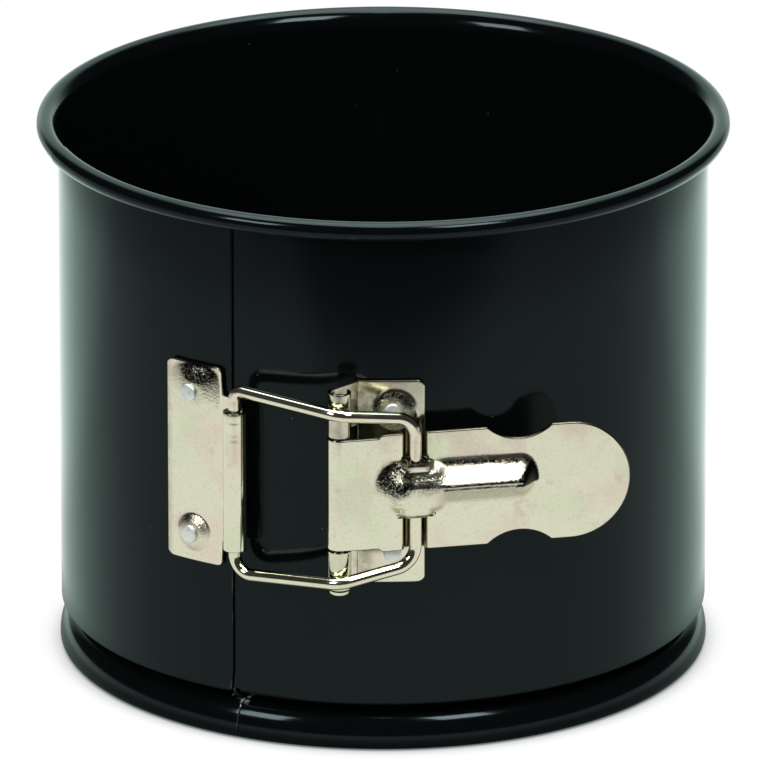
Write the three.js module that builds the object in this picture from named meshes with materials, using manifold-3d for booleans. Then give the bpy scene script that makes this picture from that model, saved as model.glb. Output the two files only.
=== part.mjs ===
// Deep springform cake pan: a sprung steel ring, a loose base and an over-centre toggle latch.
// Millimetres, +Z up. The origin is on the pan's axis at the table, and the latch faces -Y.
import * as THREE from 'three';
import { mergeVertices } from 'three/addons/utils/BufferGeometryUtils.js';
import Module from 'manifold-3d';

const wasm = await Module();
wasm.setup();

const DEG = Math.PI / 180;

// Pan ring
const INNER_DIAMETER = 160;
const PAN_HEIGHT = 137.8;
const RING_SHEET = 0.5;
const CLEARANCE = 0.3;

// Rolled rim: the wall flares outwards and curls round on itself
const RIM_REACH = 5.2;
const RIM_CURL_RADIUS = 2.15;
const RIM_CURL_WRAP = 265 * DEG;
const RIM_FLARE_RADIUS = 3.6;
const RIM_FLARE_ANGLE = 45 * DEG;

// Foot: a channel under an inward neck, which holds the base by its edge
const FOOT_HEIGHT = 9.1;
const FOOT_BULGE = 0.4;
const FOOT_LIP = 5.2;
const FOOT_CORNER = 1.4;
const FOOT_SHOULDER = 2.2;
const NECK_OPENING = 2.6;
const NECK_DEPTH = 3.4;
const WALL_FOLD = 0.6;

// Lapped ends of the ring, as turns from the front, with the left side negative
const OUTER_END = -27.2 * DEG;
const INNER_END = -71 * DEG;
const LAP_JOGGLE_FROM = -10 * DEG;
const LAP_JOGGLE_TO = -22 * DEG;
const RING_STEP = 7 * DEG;

// Loose base
const BASE_SHEET = 0.6;
const BASE_PANEL_DROP = 0.5;
const BASE_STEP_WIDTH = 1.2;
const BASE_CORNER = 1.4;
const BASE_SEGMENTS = 60;

// Latch, all of it level with this height
const LATCH_HEIGHT = 70.5;
const WIRE_DIAMETER = 3.1;
const RIVET_SPACING = 36.8;
const RIVET_SHANK = 2.6;
const RIVET_HEAD = 4.4;
const RIVET_HEAD_HEIGHT = 0.9;
const PLATE_CORNER = 2;

// Catch plate on the ring's outer end, with a tongue rolled round the bail
const CATCH_SHEET = 1;
const CATCH_FROM = -40.1 * DEG;
const CATCH_TO = -28.8 * DEG;
const CATCH_RIVETS_AT = -34.7 * DEG;
const CATCH_HEIGHT = 51.4;
const CATCH_TONGUE_HEIGHT = 38.2;
const CATCH_TONGUE_LENGTH = 6.2;
const CATCH_TONGUE_LIFT = 15 * DEG;
const CATCH_ROLL_WRAP = 292 * DEG;
const CATCH_ROLL_TRIM = 2.2;

// Hinge bracket at the front, with a rolled knuckle at each end of the lever's barrel
const BRACKET_SHEET = 0.8;
const BRACKET_TO = 7.2 * DEG;
const BRACKET_RIVETS_AT = 1.6 * DEG;
const BRACKET_HEIGHT = 52.2;
const FLANGE_ANGLE = 225 * DEG;
const KNUCKLE_WRAP = 265 * DEG;
const KNUCKLE_SET_BACK = 1.4;

// Hinge pin
const PIN_DIAMETER = 3.6;
const PIN_X = -10.6;
const PIN_STANDOFF = 9.2;
const PIN_HEAD_DIAMETER = 5.2;
const PIN_HEAD_HEIGHT = 1.1;
const PIN_RECESS = 1.2;

// Lever: a barrel, a transverse seat for the bail, a pressed ridge, a waist and a round grip
const LEVER_SHEET = 0.9;
const LEVER_TILT = 12 * DEG;
const LEVER_LENGTH = 71.6;
const LEVER_ROLL_WRAP = 285 * DEG;
const BLADE_WIDTH = 30.2;
const BARREL_INSET = 0.8;
const BARREL_STEP_AT = 9;
const BARREL_STEP = 1.2;
const SEAT_AT = 18.2;
const SEAT_SINK = 0.15;
const SEAT_WALL = 1.4;
const BRIDGE_WIDTH = 13.8;
const BRIDGE_EDGE = 1.2;
const RIDGE_FROM = 8.6;
const RIDGE_TO = 49.5;
const RIDGE_END = 7.5;
const RIDGE_WIDTH = 8.6;
const RIDGE_CREST = 1.6;
const RIDGE_SHOULDER = 3;
const WAIST_AT = 44.2;
const WAIST_RADIUS = 11.9;
const WAIST_DEPTH = 3.2;
const GRIP_INSET = 0.2;

// Bail: a wire loop, wide at the catch, bowed outwards past the hinge, narrow at the lever
const BAIL_WIDTH_AT_CATCH = 47.6;
const BAIL_WIDTH_AT_HINGE = 43.4;
const BAIL_WIDTH_AT_LEVER = 37.4;
const BAIL_DROP_AT_CATCH = 1.5;
const BAIL_BOW = 5.7;
const BAIL_UPPER_CORNER = 2.7;
const BAIL_LOWER_CORNER = 4.6;
const BAIL_SEAT_CORNER = 5.6;
const BAIL_BOW_RADIUS = 6;
const BAIL_STEPS = 84;
const WIRE_SIDES = 10;

// Values that follow from those above
const wallInner = INNER_DIAMETER / 2;
const wallOuter = wallInner + RING_SHEET;
const wallMid = wallInner + RING_SHEET / 2;
const lapOffset = RING_SHEET + CLEARANCE;
const rimOuter = wallOuter + RIM_REACH;
const footMid = wallOuter + FOOT_BULGE - RING_SHEET / 2;
const footInner = footMid - RING_SHEET / 2;
const lipInner = footMid - FOOT_LIP;
const neckLow = FOOT_HEIGHT - RING_SHEET / 2;
const neckHigh = neckLow + NECK_OPENING + RING_SHEET;
const neckRadius = (neckHigh - neckLow) / 2;
const neckCentre = wallOuter - NECK_DEPTH - RING_SHEET / 2 + neckRadius;
const footShoulder = Math.min(FOOT_SHOULDER, footMid - neckCentre);
const wireRadius = WIRE_DIAMETER / 2;
const wireHole = wireRadius + CLEARANCE;
const pinHole = PIN_DIAMETER / 2 + CLEARANCE;
const rivetHole = RIVET_SHANK / 2 + CLEARANCE;
const backGap = CLEARANCE / wallMid;
const pinAxis = new THREE.Vector2(PIN_X, -Math.sqrt(wallOuter ** 2 - PIN_X ** 2) - PIN_STANDOFF);
const leverAlong = new THREE.Vector2(Math.cos(LEVER_TILT), Math.sin(LEVER_TILT));
const leverOut = new THREE.Vector2(Math.sin(LEVER_TILT), -Math.cos(LEVER_TILT));
const barrelLength = BLADE_WIDTH - 2 * BARREL_INSET;
const gripRadius = BLADE_WIDTH / 2 - GRIP_INSET;
const knuckleLow = KNUCKLE_SET_BACK - BRACKET_HEIGHT / 2;
const bladeFace = pinHole + LEVER_SHEET;
const seatDepth = bladeFace - SEAT_SINK;
const seatAxis = onLever(SEAT_AT, seatDepth);
const seatHalf = wireHole + CLEARANCE;
const gripAt = LEVER_LENGTH - gripRadius;
const waistCentre = BLADE_WIDTH / 2 - WAIST_DEPTH + WAIST_RADIUS;

const coating = { color: 0x1c2022, roughness: 0.38, metalness: 0.25 };
const nickel = { color: 0xcfccb6, roughness: 0.24, metalness: 1 };
const rivetMetal = { color: 0xc6ccd0, roughness: 0.4, metalness: 1 };

/** A point in plan at a distance along the lever from the pin's axis and out from it. */
function onLever(along, out) {
  return pinAxis.clone().addScaledVector(leverAlong, along).addScaledVector(leverOut, out);
}

/** A point in plan at a radius from the pan's axis and a turn from the front. */
function onRing(radius, turn) {
  return new THREE.Vector2(radius * Math.sin(turn), -radius * Math.cos(turn));
}

/** A smooth step from 0 at one value to 1 at another. */
function ease(value, from, to) {
  const t = THREE.MathUtils.clamp((value - from) / (to - from), 0, 1);
  return t * t * (3 - 2 * t);
}

/** Values from one end to the other, no further apart than a step. */
function stations(from, to, step) {
  const count = Math.max(1, Math.ceil(Math.abs(to - from) / step - 1e-6));
  return Array.from({ length: count + 1 }, (_, i) => THREE.MathUtils.lerp(from, to, i / count));
}

/** The points of a path of lines and arcs, with a point at least every arc step. */
function pathPoints(path, arcStep) {
  const points = [];
  for (const curve of path.curves) {
    const arc = curve.isEllipseCurve;
    const count = arc ? Math.max(1, Math.round(curve.getLength() / curve.xRadius / arcStep)) : 1;
    points.push(...curve.getPoints(count).slice(points.length ? 1 : 0));
  }
  return points;
}

/** Unit normals to the left of a run of points, lengthened at corners to keep an offset even. */
function leftNormals(points) {
  const along = points.slice(1).map((p, i) => p.clone().sub(points[i]).normalize());
  return points.map((_, i) => {
    const before = along[Math.max(i - 1, 0)];
    const after = along[Math.min(i, along.length - 1)];
    const normal = new THREE.Vector2(-before.y - after.y, before.x + after.x).normalize();
    return normal.divideScalar(normal.dot(new THREE.Vector2(-after.y, after.x)));
  });
}

/** The closed outline of a sheet of even thickness along a run of points. */
function sheetOutline(points, thickness) {
  const normals = leftNormals(points);
  const side = (sign) => points.map((p, i) => p.clone().addScaledVector(normals[i], sign * thickness / 2));
  return [...side(-1), ...side(1).reverse()];
}

/** A closed solid from triangles, turned so that its faces point outwards. */
function solidGeometry(points, triangles) {
  const volume = triangles.reduce((sum, [a, b, c]) => (
    sum + points[a].dot(new THREE.Vector3().crossVectors(points[b], points[c]))
  ), 0);
  const faces = volume < 0 ? triangles.map(([a, b, c]) => [a, c, b]) : triangles;
  const geometry = new THREE.BufferGeometry().setFromPoints(points);
  geometry.setIndex(faces.flat());
  return geometry;
}

/** A solid through outlines of equal count, with its two ends closed by flat caps. */
function loft(sections, capOutline) {
  const count = capOutline.length;
  const triangles = [];
  for (let s = 0; s + 1 < sections.length; s += 1) {
    for (let i = 0; i < count; i += 1) {
      const a = s * count + i;
      const b = s * count + (i + 1) % count;
      triangles.push([a, b, b + count], [a, b + count, a + count]);
    }
  }
  const last = (sections.length - 1) * count;
  for (const [a, b, c] of THREE.ShapeUtils.triangulateShape(capOutline, [])) {
    triangles.push([a, c, b], [last + a, last + b, last + c]);
  }
  return solidGeometry(sections.flat(), triangles);
}

/** A solid swept round the pan's axis from an outline, given as radius and height, at each turn. */
function ringSweep(turns, outlineAt) {
  const sections = turns.map((turn) => outlineAt(turn).map(({ x, y }) => {
    const plan = onRing(x, turn);
    return new THREE.Vector3(plan.x, plan.y, y);
  }));
  return loft(sections, outlineAt(turns[0]));
}

/** A stamped sheet: a spine in plan, with heights across it and relief pressed along its normals. */
function stampedSheet(spine, thickness, heightsAt, reliefAt = () => 0) {
  const normals = leftNormals(spine);
  const across = heightsAt(0).length;
  const side = (sign) => spine.flatMap((p, i) => heightsAt(i).map((z) => {
    const q = p.clone().addScaledVector(normals[i], sign * thickness / 2 - reliefAt(i, z));
    return new THREE.Vector3(q.x, q.y, LATCH_HEIGHT + z);
  }));
  const points = [...side(-1), ...side(1)];
  const back = spine.length * across;
  const triangles = [];
  const quad = (a, b, c, d) => triangles.push([a, b, c], [a, c, d]);
  for (let i = 0; i + 1 < spine.length; i += 1) {
    for (let j = 0; j + 1 < across; j += 1) {
      const a = i * across + j;
      quad(a, a + across, a + across + 1, a + 1);
      quad(back + a, back + a + 1, back + a + across + 1, back + a + across);
    }
    const low = i * across;
    const high = low + across - 1;
    quad(low, back + low, back + low + across, low + across);
    quad(high, high + across, back + high + across, back + high);
  }
  for (let j = 0; j + 1 < across; j += 1) {
    const end = (spine.length - 1) * across + j;
    quad(j, j + 1, back + j + 1, back + j);
    quad(end, back + end, back + end + 1, end + 1);
  }
  return solidGeometry(points, triangles);
}

/** The manifold of a closed geometry, with its shared corners merged. */
function toManifold(geometry) {
  const bare = new THREE.BufferGeometry();
  bare.setAttribute('position', geometry.getAttribute('position').clone());
  if (geometry.index) {
    bare.setIndex(geometry.index.clone());
  }
  const merged = mergeVertices(bare, 1e-4);
  return new wasm.Manifold(new wasm.Mesh({
    numProp: 3,
    vertProperties: new Float32Array(merged.getAttribute('position').array),
    triVerts: new Uint32Array(merged.index.array),
  }));
}

/** The geometry of a manifold. */
function fromManifold(manifold) {
  const { vertProperties, triVerts } = manifold.getMesh();
  const geometry = new THREE.BufferGeometry();
  geometry.setAttribute('position', new THREE.BufferAttribute(vertProperties, 3));
  geometry.setIndex(new THREE.BufferAttribute(triVerts, 1));
  return geometry;
}

/** A geometry with others cut out of it. */
function cut(geometry, ...cutters) {
  return fromManifold(cutters.reduce((rest, c) => rest.subtract(toManifold(c)), toManifold(geometry)));
}

/** Geometries joined into one solid. */
function join(first, ...others) {
  return fromManifold(others.reduce((whole, g) => whole.add(toManifold(g)), toManifold(first)));
}

/** An upright cylinder at a point in plan. */
function uprightCylinder(radius, point, low, high, sides) {
  const geometry = new THREE.CylinderGeometry(radius, radius, high - low, sides);
  geometry.rotateX(Math.PI / 2);
  return geometry.translate(point.x, point.y, (low + high) / 2);
}

/** The turn that stands a rivet's axis along the radius at a turn from the front. */
function rivetRotation(turn) {
  const out = onRing(1, turn);
  return new THREE.Quaternion().setFromUnitVectors(
    new THREE.Vector3(0, 1, 0),
    new THREE.Vector3(out.x, out.y, 0),
  );
}

/** The two rivet centres of a plate on the wall's outer face. */
function rivetCentres(turn) {
  const at = onRing(wallOuter, turn);
  return [1, -1].map((sign) => new THREE.Vector3(at.x, at.y, LATCH_HEIGHT + sign * RIVET_SPACING / 2));
}

/** Cutters for a plate's two rivet holes, deep enough for the plate and the ring. */
function rivetHoles(turn) {
  const depth = 4 * (CATCH_SHEET + RING_SHEET + CLEARANCE);
  return rivetCentres(turn).map((centre) => {
    const hole = new THREE.CylinderGeometry(rivetHole, rivetHole, depth, 16);
    hole.applyQuaternion(rivetRotation(turn));
    return hole.translate(centre.x, centre.y, centre.z);
  });
}

/** The ring's sheet as radius and height, from the foot's lip to the end of the rim's curl. */
function ringOutline(inset) {
  const wall = wallMid - inset;
  const curl = RIM_CURL_RADIUS - RING_SHEET / 2;
  const curlCentre = new THREE.Vector2(rimOuter - RIM_CURL_RADIUS, PAN_HEIGHT - RIM_CURL_RADIUS);
  const leaning = new THREE.Vector2(-Math.cos(RIM_FLARE_ANGLE), Math.sin(RIM_FLARE_ANGLE));
  const curlStart = curlCentre.clone().addScaledVector(leaning, curl);
  const flareStart = flareHeight(inset);
  const path = new THREE.Path();
  path.moveTo(lipInner, RING_SHEET / 2);
  path.lineTo(footMid - FOOT_CORNER, RING_SHEET / 2);
  path.absarc(footMid - FOOT_CORNER, RING_SHEET / 2 + FOOT_CORNER, FOOT_CORNER, -Math.PI / 2, 0, false);
  path.lineTo(footMid, neckLow - footShoulder);
  path.absarc(footMid - footShoulder, neckLow - footShoulder, footShoulder, 0, Math.PI / 2, false);
  path.lineTo(neckCentre, neckLow);
  path.absarc(neckCentre, neckLow + neckRadius, neckRadius, -Math.PI / 2, Math.PI / 2, true);
  path.lineTo(wall - WALL_FOLD, neckHigh);
  path.absarc(wall - WALL_FOLD, neckHigh + WALL_FOLD, WALL_FOLD, -Math.PI / 2, 0, false);
  path.lineTo(wall, flareStart);
  const from = Math.PI - RIM_FLARE_ANGLE;
  path.absarc(wall + RIM_FLARE_RADIUS, flareStart, RIM_FLARE_RADIUS, Math.PI, from, true);
  path.lineTo(curlStart.x, curlStart.y);
  path.absarc(curlCentre.x, curlCentre.y, curl, from, from - RIM_CURL_WRAP, true);
  return sheetOutline(pathPoints(path, 40 * DEG), RING_SHEET);
}

/** The height at which the wall starts to flare, so that the flare runs straight into the curl. */
function flareHeight(inset) {
  const curl = RIM_CURL_RADIUS - RING_SHEET / 2;
  const lean = new THREE.Vector2(Math.sin(RIM_FLARE_ANGLE), Math.cos(RIM_FLARE_ANGLE));
  const curlStartX = rimOuter - RIM_CURL_RADIUS - curl * lean.y;
  const curlStartZ = PAN_HEIGHT - RIM_CURL_RADIUS + curl * lean.x;
  const flareEndX = wallMid - inset + RIM_FLARE_RADIUS * (1 - lean.y);
  const straight = (curlStartX - flareEndX) / lean.x;
  return curlStartZ - straight * lean.y - RIM_FLARE_RADIUS * lean.x;
}

/** A sector round the pan's axis of rectangular section, for trimming the lapped ends. */
function ringBlock(turns, innerRadius, outerRadius, low, high) {
  return ringSweep(turns, () => [
    new THREE.Vector2(innerRadius, low),
    new THREE.Vector2(outerRadius, low),
    new THREE.Vector2(outerRadius, high),
    new THREE.Vector2(innerRadius, high),
  ]);
}

/** The ring's left half, which ends in front as the outer layer of the lap, its rim cut back there. */
function ringLeft() {
  const turns = stations(-Math.PI + backGap / 2, OUTER_END, RING_STEP);
  const outline = ringOutline(0);
  const sweep = ringSweep(turns, () => outline);
  const rimCut = ringBlock(
    stations(INNER_END - backGap, OUTER_END + RING_STEP, RING_STEP),
    wallInner - NECK_DEPTH,
    rimOuter + RIM_REACH,
    flareHeight(lapOffset) - CLEARANCE,
    PAN_HEIGHT + RIM_REACH,
  );
  return cut(sweep, rimCut, ...rivetHoles(CATCH_RIVETS_AT));
}

/** The ring's right half, which steps in behind the lap as its inner layer, its foot cut back there. */
function ringRight() {
  const turns = [
    ...stations(INNER_END, LAP_JOGGLE_TO, RING_STEP),
    ...stations(LAP_JOGGLE_TO, LAP_JOGGLE_FROM, RING_STEP / 2).slice(1),
    ...stations(LAP_JOGGLE_FROM, Math.PI - backGap / 2, RING_STEP).slice(1),
  ];
  const insetAt = (turn) => lapOffset * ease(turn, LAP_JOGGLE_FROM, LAP_JOGGLE_TO);
  const sweep = ringSweep(turns, (turn) => ringOutline(insetAt(turn)));
  const footCut = ringBlock(
    stations(INNER_END - RING_STEP, OUTER_END + backGap, RING_STEP),
    lipInner - NECK_DEPTH,
    rimOuter,
    -FOOT_HEIGHT,
    neckHigh + WALL_FOLD + CLEARANCE,
  );
  return cut(sweep, footCut, ...rivetHoles(BRACKET_RIVETS_AT));
}

/** The loose base: a flat panel with an upturned edge that stands in the foot's channel. */
function base() {
  const seat = RING_SHEET + CLEARANCE + BASE_SHEET / 2;
  const panel = seat - BASE_PANEL_DROP;
  const edge = footInner - CLEARANCE - BASE_SHEET / 2;
  const top = neckLow - footShoulder - CLEARANCE;
  const path = new THREE.Path();
  path.moveTo(0, panel);
  path.lineTo(lipInner - CLEARANCE - BASE_STEP_WIDTH, panel);
  path.lineTo(lipInner - CLEARANCE, seat);
  path.lineTo(edge - BASE_CORNER, seat);
  path.absarc(edge - BASE_CORNER, seat + BASE_CORNER, BASE_CORNER, -Math.PI / 2, 0, false);
  path.lineTo(edge, top);
  const outline = sheetOutline(pathPoints(path, 30 * DEG), BASE_SHEET);
  const geometry = new THREE.LatheGeometry(outline, BASE_SEGMENTS);
  return geometry.rotateX(Math.PI / 2);
}

/** How far a plate's half height shrinks at a distance from its end, for a rounded corner. */
function cornerTrim(distance) {
  const t = THREE.MathUtils.clamp(1 - distance / PLATE_CORNER, 0, 1);
  return PLATE_CORNER * (1 - Math.sqrt(1 - t * t));
}

/** The spine of a plate bent to the ring, from its free edge, with close points at its corners. */
function plateSpine(radius, from, to) {
  const cornerEnd = from + Math.sign(to - from) * PLATE_CORNER / radius;
  const turns = [
    ...stations(from, cornerEnd, PLATE_CORNER / radius / 3),
    ...stations(cornerEnd, to, RING_STEP / 2).slice(1),
  ];
  return turns.map((turn) => onRing(radius, turn));
}

/** The spine of the catch plate, from its free edge to the end of the roll, and the roll's centre. */
function catchSpine() {
  const radius = wallOuter + CLEARANCE + CATCH_SHEET / 2;
  const rollRadius = wireHole + CATCH_SHEET / 2;
  const plate = plateSpine(radius, CATCH_FROM, CATCH_TO);
  const heading = CATCH_TO - CATCH_TONGUE_LIFT;
  const along = new THREE.Vector2(Math.cos(heading), Math.sin(heading));
  const out = new THREE.Vector2(Math.sin(heading), -Math.cos(heading));
  const root = plate[plate.length - 1].clone().addScaledVector(along, CLEARANCE);
  const rollStart = root.clone().addScaledVector(along, CATCH_TONGUE_LENGTH);
  const centre = rollStart.clone().addScaledVector(out, rollRadius);
  const from = heading + Math.PI / 2;
  const roll = new THREE.Path().absarc(centre.x, centre.y, rollRadius, from, from - CATCH_ROLL_WRAP, true);
  return { spine: [...plate, root, ...pathPoints(roll, 24 * DEG)], plateCount: plate.length, centre };
}

/** The catch plate on the ring's outer end, its tongue rolled round the bail and cut back above. */
function catchPlate() {
  const { spine, plateCount } = catchSpine();
  const half = (i) => {
    if (i >= plateCount) {
      return CATCH_TONGUE_HEIGHT / 2;
    }
    return CATCH_HEIGHT / 2 - cornerTrim(spine[i].distanceTo(spine[0]));
  };
  const trim = (i) => (i > plateCount + 1 ? CATCH_ROLL_TRIM : 0);
  const plate = stampedSheet(spine, CATCH_SHEET, (i) => [-half(i), half(i) - trim(i)]);
  return cut(plate, ...rivetHoles(CATCH_RIVETS_AT));
}

/** The bracket's knuckle: a flange that stands off the wall and rolls back round the pin. */
function bracketSpine() {
  const radius = wallOuter + CLEARANCE + BRACKET_SHEET / 2;
  const rollRadius = pinHole + BRACKET_SHEET / 2;
  const heading = new THREE.Vector2(Math.cos(FLANGE_ANGLE), Math.sin(FLANGE_ANGLE));
  const rollStart = pinAxis.clone().addScaledVector(new THREE.Vector2(heading.y, -heading.x), rollRadius);
  const reach = rollStart.dot(heading);
  const flange = reach - Math.sqrt(reach ** 2 - rollStart.lengthSq() + radius ** 2);
  const plateEnd = rollStart.clone().addScaledVector(heading, -flange);
  const from = FLANGE_ANGLE - Math.PI / 2;
  const roll = new THREE.Path().absarc(pinAxis.x, pinAxis.y, rollRadius, from, from + KNUCKLE_WRAP, false);
  return { radius, plateTurn: Math.atan2(plateEnd.x, -plateEnd.y), roll: pathPoints(roll, 24 * DEG) };
}

/** The hinge bracket: a riveted plate with two knuckles, the lower one set back above the pin's head. */
function hingeBracket() {
  const { radius, plateTurn, roll } = bracketSpine();
  const spine = plateSpine(radius, BRACKET_TO, plateTurn);
  const half = (i) => BRACKET_HEIGHT / 2 - cornerTrim(spine[i].distanceTo(spine[0]));
  const plate = stampedSheet(spine, BRACKET_SHEET, (i) => [-half(i), half(i)]);
  const lap = onRing(radius, plateTurn + PLATE_CORNER / radius);
  const knuckleSpine = [lap, onRing(radius, plateTurn), ...roll];
  const inner = barrelLength / 2 + CLEARANCE;
  const upper = stampedSheet(knuckleSpine, BRACKET_SHEET, () => [inner, BRACKET_HEIGHT / 2]);
  const lower = stampedSheet(knuckleSpine, BRACKET_SHEET, () => [knuckleLow, -inner]);
  return cut(join(plate, upper, lower), ...rivetHoles(BRACKET_RIVETS_AT));
}

/** The hinge pin, headed below the lower knuckle and set back inside the upper one. */
function hingePin() {
  const low = knuckleLow - CLEARANCE;
  const high = BRACKET_HEIGHT / 2 - PIN_RECESS;
  const path = new THREE.Path();
  path.moveTo(0, low - PIN_HEAD_HEIGHT);
  path.lineTo(PIN_HEAD_DIAMETER / 3, low - PIN_HEAD_HEIGHT);
  path.lineTo(PIN_HEAD_DIAMETER / 2, low - PIN_HEAD_HEIGHT / 2);
  path.lineTo(PIN_HEAD_DIAMETER / 2, low);
  path.lineTo(PIN_DIAMETER / 2, low);
  path.lineTo(PIN_DIAMETER / 2, high);
  path.lineTo(0, high);
  const geometry = new THREE.LatheGeometry(pathPoints(path, DEG), 20);
  geometry.rotateX(Math.PI / 2);
  return geometry.translate(pinAxis.x, pinAxis.y, LATCH_HEIGHT);
}

/** A rivet's profile on its own axis: a low domed head, a shank and, where asked, a set head inside. */
function rivet(plateSheet, hasInnerHead) {
  const head = RIVET_HEAD / 2;
  const shank = RIVET_SHANK / 2;
  const seat = plateSheet + 2 * CLEARANCE;
  const profile = new THREE.Path();
  if (hasInnerHead) {
    const set = -RING_SHEET - CLEARANCE;
    profile.moveTo(0, set - RIVET_HEAD_HEIGHT);
    profile.lineTo(head * 0.7, set - RIVET_HEAD_HEIGHT);
    profile.lineTo(head, set - RIVET_HEAD_HEIGHT / 2);
    profile.lineTo(head, set);
    profile.lineTo(shank, set);
  } else {
    profile.moveTo(0, -RING_SHEET);
    profile.lineTo(shank, -RING_SHEET);
  }
  profile.lineTo(shank, seat);
  profile.lineTo(head, seat);
  profile.lineTo(head, seat + RIVET_HEAD_HEIGHT / 2);
  profile.lineTo(head * 0.8, seat + RIVET_HEAD_HEIGHT * 0.9);
  profile.lineTo(0, seat + RIVET_HEAD_HEIGHT);
  return new THREE.LatheGeometry(pathPoints(profile, DEG), 18);
}

/** The lever's half width at a distance along it: barrel, blade, scalloped waist and round grip. */
function leverHalfWidth(along) {
  const widening = ease(along, BARREL_STEP_AT, BARREL_STEP_AT + BARREL_STEP);
  const blade = THREE.MathUtils.lerp(barrelLength, BLADE_WIDTH, widening) / 2;
  if (along > gripAt) {
    return Math.sqrt(Math.max(0, gripRadius ** 2 - (along - gripAt) ** 2));
  }
  const edge = along > WAIST_AT ? gripRadius : blade;
  const reach = WAIST_RADIUS ** 2 - (along - WAIST_AT) ** 2;
  return reach > 0 ? Math.min(edge, waistCentre - Math.sqrt(reach)) : edge;
}

/** How far the lever's face is pressed out or in: a ridge that bridges the bail, and a seat beside it. */
function leverRelief(along, z) {
  const bridge = seatDepth + wireHole + CLEARANCE / 2 + LEVER_SHEET - bladeFace;
  const sink = bladeFace - (seatDepth - wireHole - CLEARANCE / 2);
  const narrowing = ease(along, SEAT_AT + seatHalf, SEAT_AT + seatHalf + RIDGE_SHOULDER);
  const crest = THREE.MathUtils.lerp(BRIDGE_WIDTH / 2 - BRIDGE_EDGE, RIDGE_CREST / 2, narrowing);
  const foot = THREE.MathUtils.lerp(BRIDGE_WIDTH, RIDGE_WIDTH, narrowing) / 2;
  const fall = ease(along, RIDGE_TO - RIDGE_END, RIDGE_TO);
  const rise = ease(along, RIDGE_FROM, SEAT_AT - seatHalf) * (1 - fall);
  const ridge = bridge * rise * (1 - ease(Math.abs(z), crest, foot));
  const inSeat = 1 - ease(Math.abs(along - SEAT_AT), seatHalf, seatHalf + SEAT_WALL);
  const beside = ease(Math.abs(z), BRIDGE_WIDTH / 2, BRIDGE_WIDTH / 2 + BRIDGE_EDGE);
  return ridge - sink * inSeat * beside;
}

/** The lever, rolled round the pin at one end, with the bail's bore left open under its bridge. */
function lever() {
  const rollRadius = pinHole + LEVER_SHEET / 2;
  const rollFrom = Math.PI / 2 + LEVER_ROLL_WRAP;
  const rollTurns = stations(rollFrom, Math.PI / 2, 30 * DEG).slice(0, -1);
  const waistHalf = Math.sqrt(WAIST_RADIUS ** 2 - (WAIST_RADIUS - WAIST_DEPTH) ** 2);
  const waistEnd = WAIST_AT + waistHalf;
  const along = [
    ...stations(0, BARREL_STEP_AT, 3),
    ...stations(BARREL_STEP_AT + BARREL_STEP, SEAT_AT - seatHalf - SEAT_WALL, 2.4),
    ...stations(SEAT_AT - seatHalf, SEAT_AT + seatHalf, seatHalf),
    ...stations(SEAT_AT + seatHalf + SEAT_WALL, WAIST_AT - waistHalf, 3),
    ...stations(WAIST_AT - waistHalf, waistEnd, 2).slice(1),
    ...stations(Math.PI / 2, 4 * DEG, 12 * DEG).map((a) => gripAt + gripRadius * Math.cos(a)),
  ];
  const spine = [
    ...rollTurns.map((a) => onLever(rollRadius * Math.cos(a), rollRadius * Math.sin(a))),
    ...along.map((u) => onLever(u, bladeFace - LEVER_SHEET / 2)),
  ];
  const onBlade = (i) => (i < rollTurns.length ? 0 : along[i - rollTurns.length]);
  const bridgeHalf = BRIDGE_WIDTH / 2;
  const heights = [
    0,
    RIDGE_CREST / 2,
    RIDGE_WIDTH / 4,
    RIDGE_WIDTH / 2,
    bridgeHalf - BRIDGE_EDGE,
    bridgeHalf,
    bridgeHalf + BRIDGE_EDGE,
    BLADE_WIDTH / 2,
  ];
  const across = [...heights.slice(1).reverse().map((z) => -z), ...heights];
  const shares = across.map((z) => z / (BLADE_WIDTH / 2));
  const blank = stampedSheet(
    spine,
    LEVER_SHEET,
    (i) => shares.map((s) => s * leverHalfWidth(onBlade(i))),
    (i, z) => leverRelief(onBlade(i), z),
  );
  const low = LATCH_HEIGHT - BLADE_WIDTH;
  const bore = uprightCylinder(wireHole, seatAxis, low, low + 2 * BLADE_WIDTH, 20);
  return cut(blank, bore);
}

/** A path through points whose inner corners are rounded by their own radii. */
function roundedPath(points, radii) {
  const path = new THREE.CurvePath();
  let from = points[0];
  for (let i = 1; i + 1 < points.length; i += 1) {
    const back = points[i - 1].clone().sub(points[i]).normalize();
    const ahead = points[i + 1].clone().sub(points[i]).normalize();
    const trim = radii[i] / Math.tan(back.angleTo(ahead) / 2);
    const start = points[i].clone().addScaledVector(back, trim);
    const end = points[i].clone().addScaledVector(ahead, trim);
    path.add(new THREE.LineCurve3(from, start));
    path.add(new THREE.QuadraticBezierCurve3(start, points[i], end));
    from = end;
  }
  path.add(new THREE.LineCurve3(from, points[points.length - 1]));
  return path;
}

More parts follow.
